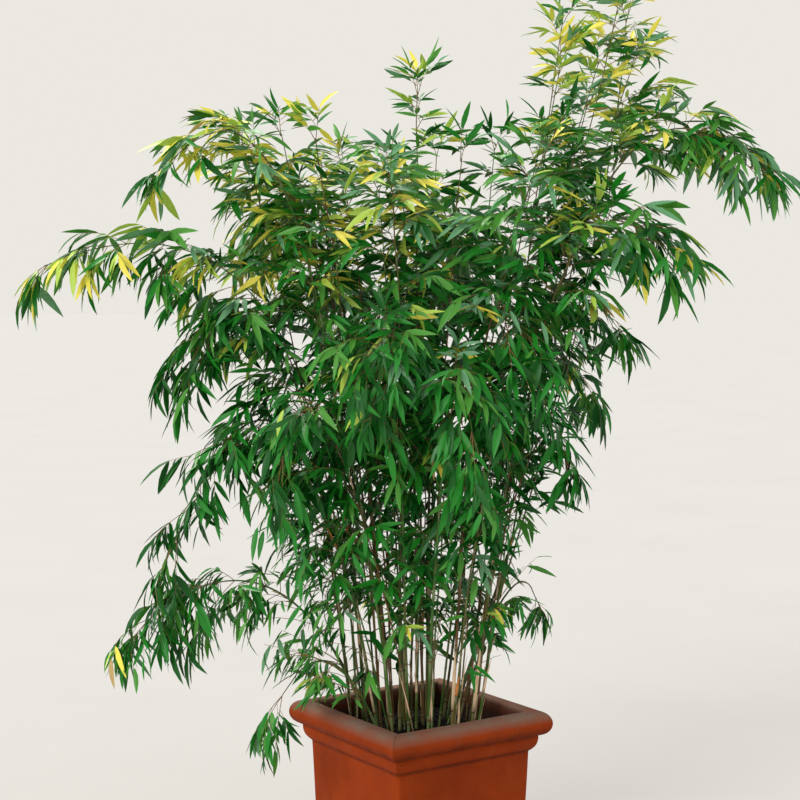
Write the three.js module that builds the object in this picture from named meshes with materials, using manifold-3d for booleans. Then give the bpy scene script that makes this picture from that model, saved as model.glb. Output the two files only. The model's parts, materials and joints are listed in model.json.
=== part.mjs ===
// Potted bamboo: a clump of canes in a square clay planter.
// Millimetres, +Z up, origin at the middle of the planter's underside.
import * as THREE from "three";
import { mergeVertices } from "three/addons/utils/BufferGeometryUtils.js";
import Module from "manifold-3d";

const wasm = await Module();
wasm.setup();

const GAP = 0.3;

// Planter, as half widths of the square and heights.
const POT_HEIGHT = 407;
const RIM_HALF = 217;
const RIM_TALL = 54;
const RIM_FLAT = 194;
const BAND_HALF = 194;
const BAND_TALL = 34;
const BODY_TOP_HALF = 179.5;
const BODY_FOOT_HALF = 168;
const MOUTH_HALF = 172;
const FLOOR_HALF = 152;
const FLOOR = 25;
const CORNER = 9;
const RIM_CORNER = 4.5;
const CORNER_STEPS = 4;
const ROLL_STEPS = 6;

// Soil and clump. The clump is an ellipse, broad side to the viewer.
const SOIL_TOP = 355;
const VIEW_TURN = 34;
const CLUMP_X = -10;
const CLUMP_BROAD = 156;
const CLUMP_DEEP = 105;
const CANE_FOOT_RADIUS = 5.6;
const CANE_TIP_RADIUS = 2.4;
const CANE_SIDES = 5;
const CANE_SEGMENTS = 6;
const CANE_SPACING = 17;
const STEM_SEGMENTS = 6;

// Leafy twigs, drawn larger than life and fewer.
const NODE_SPACING = 132;
const TWIGS_PER_NODE = 2;
const LEAVES_PER_TWIG = 3;
const TWIG_SHARE = 0.6;
const TWIG_LIFT = -0.1;
const LEAF_LENGTH = 172;
const LEAF_WIDTH = 37;
const LEAF_THICK = 3.6;
const LEAF_ROLL = 1.1;
const INNER_LEAF = 1.2;
const PROBES = 5;
const LEAF_CLEAR = 10;
const SPACE_MARGIN = 9;
const CANE_MARGIN = 5;
const POT_MARGIN = 8;

// The canes that give the crown its outline. Bearings run from the viewer's right, 90 is away.
// reach and tip place the end, bow and pull the bend, bare is the leafless share.
const ARMS = [
  {
    name: "left_arm", bearing: 184, foot: 0.95, bare: 0.5,
    reach: 820, tip: 1405, pull: 1690, bow: 0.2, spread: 125,
  },
  {
    name: "upper_left", bearing: 187, foot: 0.7, bare: 0.56,
    reach: 560, tip: 1610, pull: 2045, bow: 0.36, spread: 135,
  },
  {
    name: "left_shoulder", bearing: 170, foot: 0.5, bare: 0.58,
    reach: 330, tip: 1590, pull: 1560, bow: 0.45, spread: 140,
  },
  {
    name: "centre_spire", bearing: 80, foot: 0.15, bare: 0.64,
    reach: 32, tip: 1790, pull: 1250, bow: 0.3, spread: 105,
  },
  {
    name: "right_spire", bearing: 8, foot: 0.62, bare: 0.58,
    reach: 480, tip: 1958, pull: 1330, bow: 0.92, spread: 175,
  },
  {
    name: "right_arm", bearing: 352, foot: 0.8, bare: 0.6,
    reach: 735, tip: 1615, pull: 2050, bow: 0.47, spread: 135,
  },
  {
    name: "right_shoulder", bearing: 336, foot: 0.85, bare: 0.52,
    reach: 540, tip: 1460, pull: 1720, bow: 0.55, spread: 150,
  },
  {
    name: "upper_right", bearing: 330, foot: 0.5, bare: 0.56,
    reach: 330, tip: 1660, pull: 1500, bow: 0.6, spread: 150,
  },
  {
    name: "right_mid", bearing: 5, foot: 0.97, bare: 0.48,
    reach: 440, tip: 1290, pull: 1500, bow: 0.68, spread: 145,
  },
  {
    name: "right_low", bearing: 345, foot: 1, bare: 0.52,
    reach: 345, tip: 990, pull: 1240, bow: 0.82, spread: 120,
  },
  {
    name: "right_sprig", bearing: 15, foot: 1, bare: 0.55,
    reach: 290, tip: 640, pull: 800, bow: 0.8, spread: 75,
  },
  {
    name: "left_mid", bearing: 178, foot: 1, bare: 0.48,
    reach: 490, tip: 1220, pull: 1550, bow: 0.5, spread: 145,
  },
  {
    name: "left_drop", bearing: 192, foot: 1, bare: 0.5,
    reach: 540, tip: 800, pull: 1500, bow: 0.5, spread: 115,
  },
  {
    name: "left_low", bearing: 188, foot: 1, bare: 0.45,
    reach: 600, tip: 620, pull: 860, bow: 0.5, spread: 90,
  },
  {
    name: "foot_spray", bearing: 205, foot: 1, bare: 0.45,
    reach: 325, tip: 460, pull: 650, bow: 0.65, spread: 105,
  },
];

// The canes that fill the crown between those, in groups swung over a range of bearings.
const GROUPS = [
  {
    name: "front", count: 4, bearing: [222, 322], reach: [290, 380], tip: [1000, 1250],
    lift: 420, bow: 0.55, bare: 0.5, spread: 165, foot: 0.9,
  },
  {
    name: "back", count: 4, bearing: [35, 145], reach: [400, 500], tip: [1130, 1560],
    lift: 380, bow: 0.5, bare: 0.46, spread: 165, foot: 0.9,
  },
  {
    name: "core", count: 2, bearing: [70, 250], reach: [150, 190], tip: [1500, 1640],
    lift: -150, bow: 0.4, bare: 0.52, spread: 150, foot: 0.4,
  },
];
const INNER_CANES = 8;
const INNER_TOP = [930, 1230];
const INNER_FAN = 2.3;

const UP = new THREE.Vector3(0, 0, 1);

function material(name, color, roughness) {
  return new THREE.MeshStandardMaterial({ name, color, roughness, metalness: 0 });
}

const CLAY = material("fired clay", 0x923d18, 0.8);
const EARTH = material("potting soil", 0x2b2a21, 0.95);
const CANE = material("cane skin", 0x6d7440, 0.5);
const LEAF = material("bamboo leaf", 0x2c6a22, 0.5);

function chance(seed) {
  let state = seed;
  return () => {
    state = (state * 48271) % 2147483647;
    return state / 2147483647;
  };
}

function mix(range, share) {
  return range[0] + (range[1] - range[0]) * share;
}

function heading(degrees) {
  const a = THREE.MathUtils.degToRad(degrees);
  return new THREE.Vector3(Math.cos(a), Math.sin(a), 0);
}

// A closed geometry as a solid, whichever way round its faces were wound.
function solid(geometry) {
  const bare = new THREE.BufferGeometry();
  bare.setAttribute("position", geometry.getAttribute("position"));
  bare.setIndex(geometry.getIndex());
  const joined = mergeVertices(bare, 1e-4);
  const index = joined.getIndex().array;
  const kept = [];
  for (let i = 0; i < index.length; i += 3) {
    const [a, b, c] = [index[i], index[i + 1], index[i + 2]];
    if (a !== b && b !== c && c !== a) {
      kept.push(a, b, c);
    }
  }
  const build = (triangles) => new wasm.Manifold(new wasm.Mesh({
    numProp: 3,
    vertProperties: new Float32Array(joined.getAttribute("position").array),
    triVerts: new Uint32Array(triangles),
  }));
  const made = build(kept);
  return made.volume() > 0 ? made : build(kept.reverse());
}

function meshOf(body, name, look) {
  const out = body.getMesh();
  const geometry = new THREE.BufferGeometry();
  geometry.setAttribute("position", new THREE.BufferAttribute(new Float32Array(out.vertProperties), 3));
  geometry.setIndex(new THREE.BufferAttribute(new Uint32Array(out.triVerts), 1));
  geometry.computeVertexNormals();
  const mesh = new THREE.Mesh(geometry, look);
  mesh.name = name;
  return mesh;
}

// A profile turned on a lathe and then squared up, with small round corners.
// Points on the axis are set a little aside, so no seam ends at the origin.
function squareTurned(profile) {
  const columns = 4 * (CORNER_STEPS + 1);
  const geometry = new THREE.LatheGeometry(profile, columns);
  const position = geometry.getAttribute("position");
  for (let i = 0; i < position.count; i += 1) {
    const column = Math.floor(i / profile.length) % columns;
    const point = profile[i % profile.length];
    if (point.x === 0) {
      position.setXYZ(i, 25, 12, point.y);
      continue;
    }
    const quarter = Math.floor(column / (CORNER_STEPS + 1));
    const step = column % (CORNER_STEPS + 1);
    const radius = point.y > POT_HEIGHT - RIM_TALL - BAND_TALL ? RIM_CORNER : CORNER;
    const middle = heading(45 + 90 * quarter).multiplyScalar((point.x - radius) * Math.SQRT2);
    const spot = heading(90 * quarter + (90 * step) / CORNER_STEPS).multiplyScalar(radius).add(middle);
    position.setXYZ(i, spot.x, spot.y, point.y);
  }
  return geometry;
}

function innerHalf(height) {
  return FLOOR_HALF + ((MOUTH_HALF - FLOOR_HALF) * (height - FLOOR)) / (POT_HEIGHT - FLOOR);
}

function pot() {
  const at = (half, height) => new THREE.Vector2(half, height);
  const neck = POT_HEIGHT - RIM_TALL;
  const bandFoot = neck - BAND_TALL;
  const profile = [
    at(0, 0),
    at(BODY_FOOT_HALF - 2, 0),
    at(BODY_FOOT_HALF, 3),
    at(BODY_TOP_HALF, bandFoot - 3),
    at(BAND_HALF - 8, bandFoot + 5),
    at(BAND_HALF - 2, bandFoot + 15),
    at(BAND_HALF, neck - 8),
    at(BAND_HALF, neck - 1),
  ];
  for (let i = 0; i <= ROLL_STEPS; i += 1) {
    const a = THREE.MathUtils.degToRad(-70 + (160 * i) / ROLL_STEPS);
    const half = RIM_FLAT + (RIM_HALF - RIM_FLAT) * Math.cos(a);
    profile.push(at(half, neck + (RIM_TALL / 2) * (1 + Math.sin(a))));
  }
  profile.push(
    at(MOUTH_HALF + 6, POT_HEIGHT),
    at(MOUTH_HALF + 1.5, POT_HEIGHT - 2),
    at(innerHalf(POT_HEIGHT - 8), POT_HEIGHT - 8),
    at(innerHalf(SOIL_TOP), SOIL_TOP),
    at(FLOOR_HALF, FLOOR),
    at(0, FLOOR),
  );
  return solid(squareTurned(profile));
}

function soil() {
  const foot = FLOOR + GAP;
  return solid(squareTurned([
    new THREE.Vector2(0, foot),
    new THREE.Vector2(innerHalf(foot) - GAP, foot),
    new THREE.Vector2(innerHalf(SOIL_TOP) - GAP, SOIL_TOP),
    new THREE.Vector2(0, SOIL_TOP),
  ]));
}

// Every cane of the clump, first the named arms, then the groups, then the bare inner ones.
function clumpList() {
  const list = ARMS.map((arm) => ({ ...arm, leafScale: 1 }));
  for (const group of GROUPS) {
    for (let i = 0; i < group.count; i += 1) {
      const wave = (i * 0.618) % 1;
      const tip = mix(group.tip, wave);
      list.push({
        name: `${group.name}_${i + 1}`,
        bearing: mix(group.bearing, i / (group.count - 1)),
        reach: mix(group.reach, 1 - wave),
        tip,
        pull: tip + group.lift,
        bow: group.bow,
        bare: group.bare,
        spread: group.spread,
        foot: group.foot,
        leafScale: INNER_LEAF,
      });
    }
  }
  return list;
}

// Feet laid out like seeds in a head: even spacing over the whole ellipse.
function footSpots(count) {
  const spots = [];
  for (let i = 0; i < count; i += 1) {
    const out = Math.sqrt((i + 0.5) / count);
    const a = i * 2.39996;
    spots.push(new THREE.Vector3(
      CLUMP_X + CLUMP_BROAD * out * Math.cos(a),
      CLUMP_DEEP * out * Math.sin(a),
      SOIL_TOP + GAP,
    ));
  }
  return spots;
}

function samples(curve, from, to, count) {
  const points = [];
  for (let i = 0; i <= count; i += 1) {
    points.push(curve.getPoint(from + ((to - from) * i) / count));
  }
  return points;
}

const track = new THREE.Line3();
const near = new THREE.Vector3();

function distanceToPath(point, path) {
  let least = Infinity;
  for (let i = 1; i < path.length; i += 1) {
    track.set(path[i - 1], path[i]);
    track.closestPointToPoint(point, true, near);
    least = Math.min(least, near.distanceTo(point));
  }
  return least;
}

function pathGap(one, other) {
  return Math.min(...one.map((p) => distanceToPath(p, other)), ...other.map((p) => distanceToPath(p, one)));
}

// Gives each cane the free foot nearest its own side, and parts canes that would cross.
function plantClump() {
  const list = clumpList();
  const free = footSpots(list.length + INNER_CANES);
  for (const cane of list) {
    const out = heading(cane.bearing);
    const wish = new THREE.Vector3(
      CLUMP_X + CLUMP_BROAD * cane.foot * out.x,
      CLUMP_DEEP * cane.foot * out.y,
      SOIL_TOP + GAP,
    );
    free.sort((a, b) => a.distanceTo(wish) - b.distanceTo(wish));
    cane.root = free.shift();
    cane.end = out.clone().multiplyScalar(cane.reach).setZ(cane.tip);
    cane.end.x += CLUMP_X;
  }
  free.forEach((root, i) => {
    const lean = new THREE.Vector3(root.x - CLUMP_X, root.y, 0);
    const top = mix(INNER_TOP, (i * 0.618) % 1);
    list.push({
      name: `inner_${i + 1}`,
      bearing: THREE.MathUtils.radToDeg(Math.atan2(lean.y, lean.x)),
      reach: lean.length() * INNER_FAN,
      pull: mix([SOIL_TOP, top], 0.55),
      bow: 0.62,
      bare: 1,
      root,
      end: lean.multiplyScalar(INNER_FAN).add(new THREE.Vector3(CLUMP_X, 0, top)),
    });
  });
  const paths = [];
  for (const cane of list) {
    for (let turn = 0; turn < 40; turn += 1) {
      const side = (turn % 2 ? 1 : -1) * Math.ceil(turn / 2) * 3;
      const knee = heading(cane.bearing + side).multiplyScalar(cane.reach * cane.bow).setZ(cane.pull);
      knee.x += CLUMP_X;
      cane.curve = new THREE.QuadraticBezierCurve3(cane.root, knee, cane.end);
      cane.path = samples(cane.curve, 0, 1, 20);
      if (paths.every((path) => pathGap(cane.path, path) > CANE_SPACING)) {
        break;
      }
    }
    paths.push(cane.path);
  }
  return list;
}

function caneRadius(share) {
  return CANE_FOOT_RADIUS + (CANE_TIP_RADIUS - CANE_FOOT_RADIUS) * share;
}

// A level direction square to the way a curve leans.
function levelAcross(curve) {
  const across = curve.getPoint(1).sub(curve.getPoint(0)).cross(UP);
  return across.length() > 1 ? across.normalize() : across.set(0, 1, 0);
}

// Lays a unit-tall upright geometry along part of a curve, its foot cut level if asked.
function bend(geometry, curve, from, to, flatFoot) {
  const position = geometry.getAttribute("position");
  const across = levelAcross(curve);
  for (let i = 0; i < position.count; i += 1) {
    const share = position.getY(i) + 0.5;
    const t = from + (to - from) * share;
    const along = flatFoot && share < 1e-6 ? UP.clone() : curve.getTangent(t);
    const front = new THREE.Vector3().crossVectors(along, across).normalize();
    const side = new THREE.Vector3().crossVectors(front, along).normalize();
    const spot = curve.getPoint(t)
      .addScaledVector(side, position.getX(i))
      .addScaledVector(front, position.getZ(i));
    position.setXYZ(i, spot.x, spot.y, spot.z);
  }
  return geometry;
}

function caneBody(cane) {
  const tube = new THREE.CylinderGeometry(
    caneRadius(cane.bare), CANE_FOOT_RADIUS, 1, CANE_SIDES, CANE_SEGMENTS);
  return solid(bend(tube, cane.curve, 0, cane.bare, true));
}

// A keeled leaf of six faces: pointed root, widest before the middle, drooping tip.
function leafBody(leaf) {
  const geometry = new THREE.SphereGeometry(1, 3, 2);
  const position = geometry.getAttribute("position");
  for (let i = 0; i < position.count; i += 1) {
    const y = position.getY(i);
    const spot = leaf.belly.clone();
    if (y > 0.5) {
      spot.copy(leaf.tip);
    } else if (y < -0.5) {
      spot.copy(leaf.root);
    }
    if (Math.abs(y) < 0.5) {
      spot.addScaledVector(leaf.across, (position.getZ(i) * leaf.width) / Math.sqrt(3));
      spot.addScaledVector(leaf.face, (position.getX(i) * LEAF_THICK) / 1.5);
    }
    position.setXYZ(i, spot.x, spot.y, spot.z);
  }
  return solid(geometry);
}

function leafShape(twig, share, way, length, width, roll) {
  const root = twig.getPoint(share);
  const across = new THREE.Vector3().crossVectors(way, UP);
  if (across.length() < 0.1) {
    across.set(1, 0, 0);
  }
  across.normalize().applyAxisAngle(way, roll);
  const face = new THREE.Vector3().crossVectors(across, way).normalize();
  const belly = root.clone().addScaledVector(way, length * 0.4);
  const tip = root.clone().addScaledVector(way, length);
  tip.z -= length * 0.12;
  return { root, across, face, belly, tip, width };
}

// Points down the middle and along both edges of a leaf.
function leafProbes(leaf) {
  const probes = [leaf.tip];
  for (let i = 1; i <= PROBES; i += 1) {
    const share = i / PROBES;
    for (const end of [leaf.root, leaf.tip]) {
      const spot = end.clone().lerp(leaf.belly, share);
      const reach = (leaf.width / 2) * share;
      probes.push(spot.clone().addScaledVector(leaf.across, reach));
      probes.push(spot.clone().addScaledVector(leaf.across, -reach));
      probes.push(spot);
    }
  }
  return probes;
}

// True while a point lies in the cane's own share of the crown, clear of canes and pot.
function ownSpace(point, cane, clump) {
  const own = distanceToPath(point, cane.leafy);
  for (const other of clump) {
    if (other !== cane && other.leafy && distanceToPath(point, other.leafy) < own + SPACE_MARGIN) {
      return false;
    }
    if (distanceToPath(point, other.bareway) < CANE_FOOT_RADIUS + CANE_MARGIN) {
      return false;
    }
  }
  const seen = point.clone().applyAxisAngle(UP, THREE.MathUtils.degToRad(-VIEW_TURN));
  const out = Math.max(Math.abs(seen.x), Math.abs(seen.y));
  return seen.z > POT_HEIGHT + POT_MARGIN || out > RIM_HALF + POT_MARGIN;
}

// Clear of what the same mass has grown already, so nothing in it crosses.
function inOwnSpace(points, cane, clump, taken) {
  return points.every((point) => taken.every((path) => distanceToPath(point, path) > LEAF_CLEAR)
    && ownSpace(point, cane, clump));
}

function pickTwig(cane, step, turn, draw, clump, last, taken) {
  const t = cane.bare + (1 - cane.bare) * step;
  const start = cane.curve.getPoint(t);
  const along = cane.curve.getTangent(t);
  const side = new THREE.Vector3().crossVectors(along, new THREE.Vector3(0.13, 0.31, 0.94)).normalize();
  const front = new THREE.Vector3().crossVectors(along, side);
  const fade = (1 - 0.5 * step * step) * Math.min(1, 0.55 + 1.8 * step);
  for (let attempt = 0; attempt < 7; attempt += 1) {
    const a = turn + (attempt * 0.9 + 0.4 * draw()) * (attempt % 2 ? 1 : -1);
    const out = side.clone().multiplyScalar(Math.cos(a)).addScaledVector(front, Math.sin(a));
    const way = out.multiplyScalar(last ? 0.4 : 0.85)
      .addScaledVector(along, last ? 1 : 0.5 + 0.3 * draw())
      .addScaledVector(UP, TWIG_LIFT)
      .normalize();
    const length = cane.spread * (0.65 + 0.45 * draw()) * fade * (1 - 0.09 * attempt);
    const end = start.clone().addScaledVector(way, length);
    end.z -= length * 0.25 * draw();
    const twig = new THREE.LineCurve3(start, end);
    if (inOwnSpace(samples(twig, 0.12, 1, 8), cane, clump, taken)) {
      return twig;
    }
  }
  return null;
}

function pickLeaf(twig, index, count, cane, draw, clump, taken) {
  const share = 0.45 + (0.47 * index) / Math.max(1, count - 1) - 0.1 * draw();
  const ahead = twig.getTangent(share);
  const side = new THREE.Vector3().crossVectors(ahead, UP).normalize();
  const end = index === count - 1;
  for (let attempt = 0; attempt < 9; attempt += 1) {
    const flip = (index + attempt) % 2 ? 1 : -1;
    const way = ahead.clone().multiplyScalar(0.8 + 0.4 * draw())
      .addScaledVector(side, flip * (end ? 0.15 + 0.2 * attempt * draw() : 0.4 + 0.6 * draw()))
      .addScaledVector(UP, -(0.2 + 0.9 * draw()))
      .normalize();
    const scale = cane.leafScale * (0.72 + 0.4 * draw()) * (1 - 0.05 * attempt);
    const roll = LEAF_ROLL * (2 * draw() - 1);
    const leaf = leafShape(twig, share, way, LEAF_LENGTH * scale, LEAF_WIDTH * cane.leafScale, roll);
    if (inOwnSpace(leafProbes(leaf), cane, clump, taken)) {
      return leaf;
    }
  }
  return null;
}

// One mass of leaves: a stem that carries its cane on, twigs by a seeded rule, leaves fused on.
function massBody(cane, seed, clump) {
  const draw = chance(seed);
  const speed = cane.curve.getPoint(cane.bare + 0.001).distanceTo(cane.curve.getPoint(cane.bare)) / 0.001;
  const from = cane.bare + GAP / speed;
  const stem = new THREE.CylinderGeometry(CANE_TIP_RADIUS, caneRadius(cane.bare), 1, 4, STEM_SEGMENTS);
  const parts = [solid(bend(stem, cane.curve, from, 1, false))];
  const leafyLength = cane.curve.getLength() * (1 - cane.bare);
  const steps = Math.max(2, Math.round(leafyLength / NODE_SPACING));
  const taken = [];
  for (let k = 0; k <= steps; k += 1) {
    const step = Math.min(0.985, 0.03 + (0.97 * k) / steps);
    for (let j = 0; j < TWIGS_PER_NODE; j += 1) {
      const turn = 2 * Math.PI * (j / TWIGS_PER_NODE + k * 0.382);
      const twig = pickTwig(cane, step, turn, draw, clump, k === steps, taken);
      if (!twig) {
        continue;
      }
      const thick = TWIG_SHARE * caneRadius(cane.bare + (1 - cane.bare) * step);
      const rod = new THREE.ConeGeometry(thick, 1, 3, 1);
      parts.push(solid(bend(rod, twig, 0, 1, false)));
      for (let m = 0; m < LEAVES_PER_TWIG; m += 1) {
        const leaf = pickLeaf(twig, m, LEAVES_PER_TWIG, cane, draw, clump, taken);
        if (leaf) {
          parts.push(leafBody(leaf));
          taken.push([leaf.root.clone().lerp(leaf.belly, 0.4), leaf.belly, leaf.tip]);
        }
      }
      taken.push(samples(twig, 0.1, 1, 4));
    }
  }
  const bodies = wasm.Manifold.union(parts).decompose();
  bodies.sort((a, b) => b.volume() - a.volume());
  return bodies[0];
}

const clump = plantClump();
for (const cane of clump) {
  cane.bareway = samples(cane.curve, 0, cane.bare, 16);
  cane.leafy = cane.bare < 1 ? samples(cane.curve, cane.bare, 1, 14) : null;
}

const plant = new THREE.Group();
plant.name = "potted_bamboo";
plant.add(meshOf(pot(), "pot", CLAY));
plant.add(meshOf(soil(), "soil", EARTH));

const growth = new THREE.Group();
growth.name = "clump";
growth.rotation.z = THREE.MathUtils.degToRad(-VIEW_TURN);
clump.forEach((cane, i) => {
  growth.add(meshOf(caneBody(cane), `cane_${cane.name}`, CANE));
  if (cane.leafy) {
    growth.add(meshOf(massBody(cane, 1301 + 97 * i, clump), `leaves_${cane.name}`, LEAF));
  }
});
plant.add(growth);
plant.updateMatrixWorld(true);

export default plant;
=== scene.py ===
"""Potted bamboo: the finished planter, soil, canes, sheaths, twigs and leaves.

Lengths are metres and +Z is up. The clump is grown in its own frame, whose -Y looks
to the viewer, and is then turned into the frame of the planter.
"""
import json
import math
from collections import namedtuple
from functools import lru_cache

import bpy
import numpy as np
from bpy.props import FloatProperty, FloatVectorProperty, IntProperty, PointerProperty
from mathutils import Matrix, Vector, noise

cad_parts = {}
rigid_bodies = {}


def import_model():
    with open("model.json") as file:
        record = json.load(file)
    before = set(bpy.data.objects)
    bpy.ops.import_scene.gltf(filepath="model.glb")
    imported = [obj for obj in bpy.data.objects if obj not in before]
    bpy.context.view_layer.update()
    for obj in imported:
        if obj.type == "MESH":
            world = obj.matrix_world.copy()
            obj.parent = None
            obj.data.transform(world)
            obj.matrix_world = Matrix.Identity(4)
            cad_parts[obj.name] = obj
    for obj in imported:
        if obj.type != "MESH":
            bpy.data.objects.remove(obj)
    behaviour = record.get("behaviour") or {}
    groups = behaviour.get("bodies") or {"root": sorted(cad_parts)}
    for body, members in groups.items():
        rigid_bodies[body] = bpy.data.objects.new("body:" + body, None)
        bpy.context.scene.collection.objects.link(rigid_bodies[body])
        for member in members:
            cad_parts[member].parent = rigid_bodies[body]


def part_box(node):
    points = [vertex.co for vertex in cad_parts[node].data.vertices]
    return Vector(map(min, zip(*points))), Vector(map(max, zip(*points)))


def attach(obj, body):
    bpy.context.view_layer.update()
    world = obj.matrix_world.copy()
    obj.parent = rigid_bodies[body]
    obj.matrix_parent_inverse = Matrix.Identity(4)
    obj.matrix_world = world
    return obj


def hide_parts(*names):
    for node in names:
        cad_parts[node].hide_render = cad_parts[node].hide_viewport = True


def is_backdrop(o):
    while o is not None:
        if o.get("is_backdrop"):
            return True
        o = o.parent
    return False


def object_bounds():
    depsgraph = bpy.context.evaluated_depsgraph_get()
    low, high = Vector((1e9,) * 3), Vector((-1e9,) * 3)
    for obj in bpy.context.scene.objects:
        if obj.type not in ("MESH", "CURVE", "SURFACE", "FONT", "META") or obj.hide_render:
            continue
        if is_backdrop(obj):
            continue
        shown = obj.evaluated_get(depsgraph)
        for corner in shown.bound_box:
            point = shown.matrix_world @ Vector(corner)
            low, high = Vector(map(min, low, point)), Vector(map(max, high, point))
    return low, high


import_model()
CAD_LOW, CAD_HIGH = (tuple(corner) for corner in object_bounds())
POT_HIGH, SOIL_HIGH = (tuple(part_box(node)[1]) for node in ("pot", "soil"))

bl_info = {
    "name": "Potted Bamboo",
    "version": (1, 0, 0),
    "blender": (4, 5, 0),
    "location": "3D View > Sidebar > Bamboo",
    "description": "Planter, soil, canes, sheaths, twigs and leaves of a potted bamboo",
    "category": "Object",
}

# The clump, as in the part's source.
VIEW_TURN = math.radians(34)
CLUMP_X = -0.010
CLUMP_BROAD = 0.156
CLUMP_DEEP = 0.105
# Least distances between the paths of two main canes, and between the feet of thin ones.
CANE_SPACING = 0.017
FOOT_SPACING = 0.0115
# Times that a knee is turned by a few degrees, and that a foot is drawn, to keep them.
KNEE_TRIES, KNEE_STEP = 40, 3
FOOT_TRIES = 60
# The golden section, as a share and as a turn in radians, spreads things evenly.
GOLDEN = 0.618
SEED_TURN = 2.39996
FOOT_HEIGHT = SOIL_HIGH[2] + 0.0003
POT_HEIGHT = POT_HIGH[2]
RIM_HALF = POT_HIGH[0]
MOUTH_HALF = 0.172
# Heights of the groove under the rim, and of the edge where the band stands off the wall.
NECK = POT_HEIGHT - 0.054
BAND = NECK - 0.034

# The foot is a share of the clump's breadth, bare the share of the cane under its leaves.
# Reach and tip place its end, pull and bow its knee. Spread is the length of its twigs.
ARM_FIELDS = ("name", "bearing", "foot", "bare", "reach", "tip", "pull", "bow", "spread")
ARMS = [
    ("left_arm", 184, 0.95, 0.50, 0.820, 1.405, 1.690, 0.20, 0.125),
    ("upper_left", 187, 0.70, 0.56, 0.560, 1.610, 2.045, 0.36, 0.135),
    ("left_shoulder", 170, 0.50, 0.58, 0.330, 1.590, 1.560, 0.45, 0.140),
    ("centre_spire", 80, 0.15, 0.64, 0.032, 1.790, 1.250, 0.30, 0.105),
    ("right_spire", 8, 0.62, 0.58, 0.480, 1.958, 1.330, 0.92, 0.175),
    ("right_arm", 352, 0.80, 0.60, 0.735, 1.615, 2.050, 0.47, 0.135),
    ("right_shoulder", 336, 0.85, 0.52, 0.540, 1.460, 1.720, 0.55, 0.150),
    ("upper_right", 330, 0.50, 0.56, 0.330, 1.660, 1.500, 0.60, 0.150),
    ("right_mid", 5, 0.97, 0.48, 0.440, 1.290, 1.500, 0.68, 0.145),
    ("right_low", 345, 1.00, 0.52, 0.345, 0.990, 1.240, 0.82, 0.120),
    ("right_sprig", 15, 1.00, 0.55, 0.290, 0.640, 0.800, 0.80, 0.075),
    ("left_mid", 178, 1.00, 0.48, 0.490, 1.220, 1.550, 0.50, 0.145),
    ("left_drop", 192, 1.00, 0.50, 0.540, 0.800, 1.500, 0.50, 0.115),
    ("left_low", 188, 1.00, 0.45, 0.600, 0.620, 0.860, 0.50, 0.090),
    ("foot_spray", 205, 1.00, 0.45, 0.325, 0.460, 0.650, 0.65, 0.105),
]
# name, count, bearings, reaches, tips, lift, bow, bare, spread, foot
GROUPS = [
    ("front", 4, (222, 322), (0.290, 0.380), (1.000, 1.250), 0.420, 0.55, 0.50, 0.165, 0.9),
    ("back", 4, (35, 145), (0.400, 0.500), (1.130, 1.560), 0.380, 0.50, 0.46, 0.165, 0.9),
    ("core", 2, (70, 250), (0.150, 0.190), (1.500, 1.640), -0.150, 0.40, 0.52, 0.150, 0.4),
]
# Ends of the thin canes that close the top of the crown and broaden its spires.
WISPS = [(-0.17, 0.02, 1.62), (-0.09, -0.10, 1.57), (0.09, -0.05, 1.64), (0.17, 0.06, 1.67),
         (0.26, -0.08, 1.66), (-0.27, 0.10, 1.56), (0.04, 0.12, 1.66), (0.33, 0.10, 1.62),
         (0.32, 0.03, 1.95), (0.41, 0.12, 1.87), (0.31, -0.05, 1.86), (0.47, -0.02, 1.85),
         (0.43, -0.07, 1.96), (0.37, -0.02, 1.76), (-0.31, 0.0, 1.70), (-0.23, -0.05, 1.685),
         (-0.40, 0.04, 1.69)]
# Canes whose twigs have another length than in the source.
OWN_SPREAD = {"left_low": 0.12, "right_spire": 0.15, "left_drop": 0.13, "centre_spire": 0.095,
              "back_1": 0.1, "back_3": 0.22, "right_mid": 0.085, "right_low": 0.1}
# How long the branchlets at the end of an arm are, and how steeply they rise.
ARM_ENDS = {"right_arm": (0.55, 0.6), "upper_left": (0.3, 0.3), "left_arm": (0.65, -0.45),
            "right_shoulder": (0.7, 0.4)}
# The share of its twigs that a cane bears. A crowded one bears a twig more at each joint.
TWIG_SHARE = {"right_sprig": 0.16, "left_arm": 0.66, "upper_left": 1.05, "left_mid": 0.7,
              "left_shoulder": 0.65, "right_mid": 0.3, "right_low": 0.34, "centre_spire": 0.85,
              "right_arm": 1.3, "right_spire": 0.48, "left_low": 0.92, "foot_spray": 0.6,
              "left_drop": 0.85, "back_1": 0.5, "front_1": 0.75, "core_2": 0.6, "core_1": 0.7,
              "right_shoulder": 1.0, "upper_right": 0.75}
USUAL_SHARE = 0.9
CROWDED = 1.1
# Canes that bear their share evenly from end to end, and canes that no thin cane follows.
EVEN_CANES = ("right_spire", "left_low", "left_arm", "right_arm", "wisp")
LONE_CANES = ("left_low", "foot_spray", "right_sprig")
INNER_CANES = 8
INNER_TOP = (0.930, 1.230)
INNER_FAN = 2.3
# Where the leafy part starts on a cane that the source leaves bare.
BARE_TO = 0.62

# Along a cane round each joint: the distance, the radius against the cane's, and how strongly
# the ring is marked. A radius of None is the swelling in the settings.
JOINT_MARKS = ((-0.022, 1.0, 0.0), (-0.012, 1.0, 0.35), (-0.0032, 1.02, 0.6),
               (-0.0012, None, 1.0), (0.0012, None, 0.9), (0.0036, 0.98, 0.0))
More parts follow.
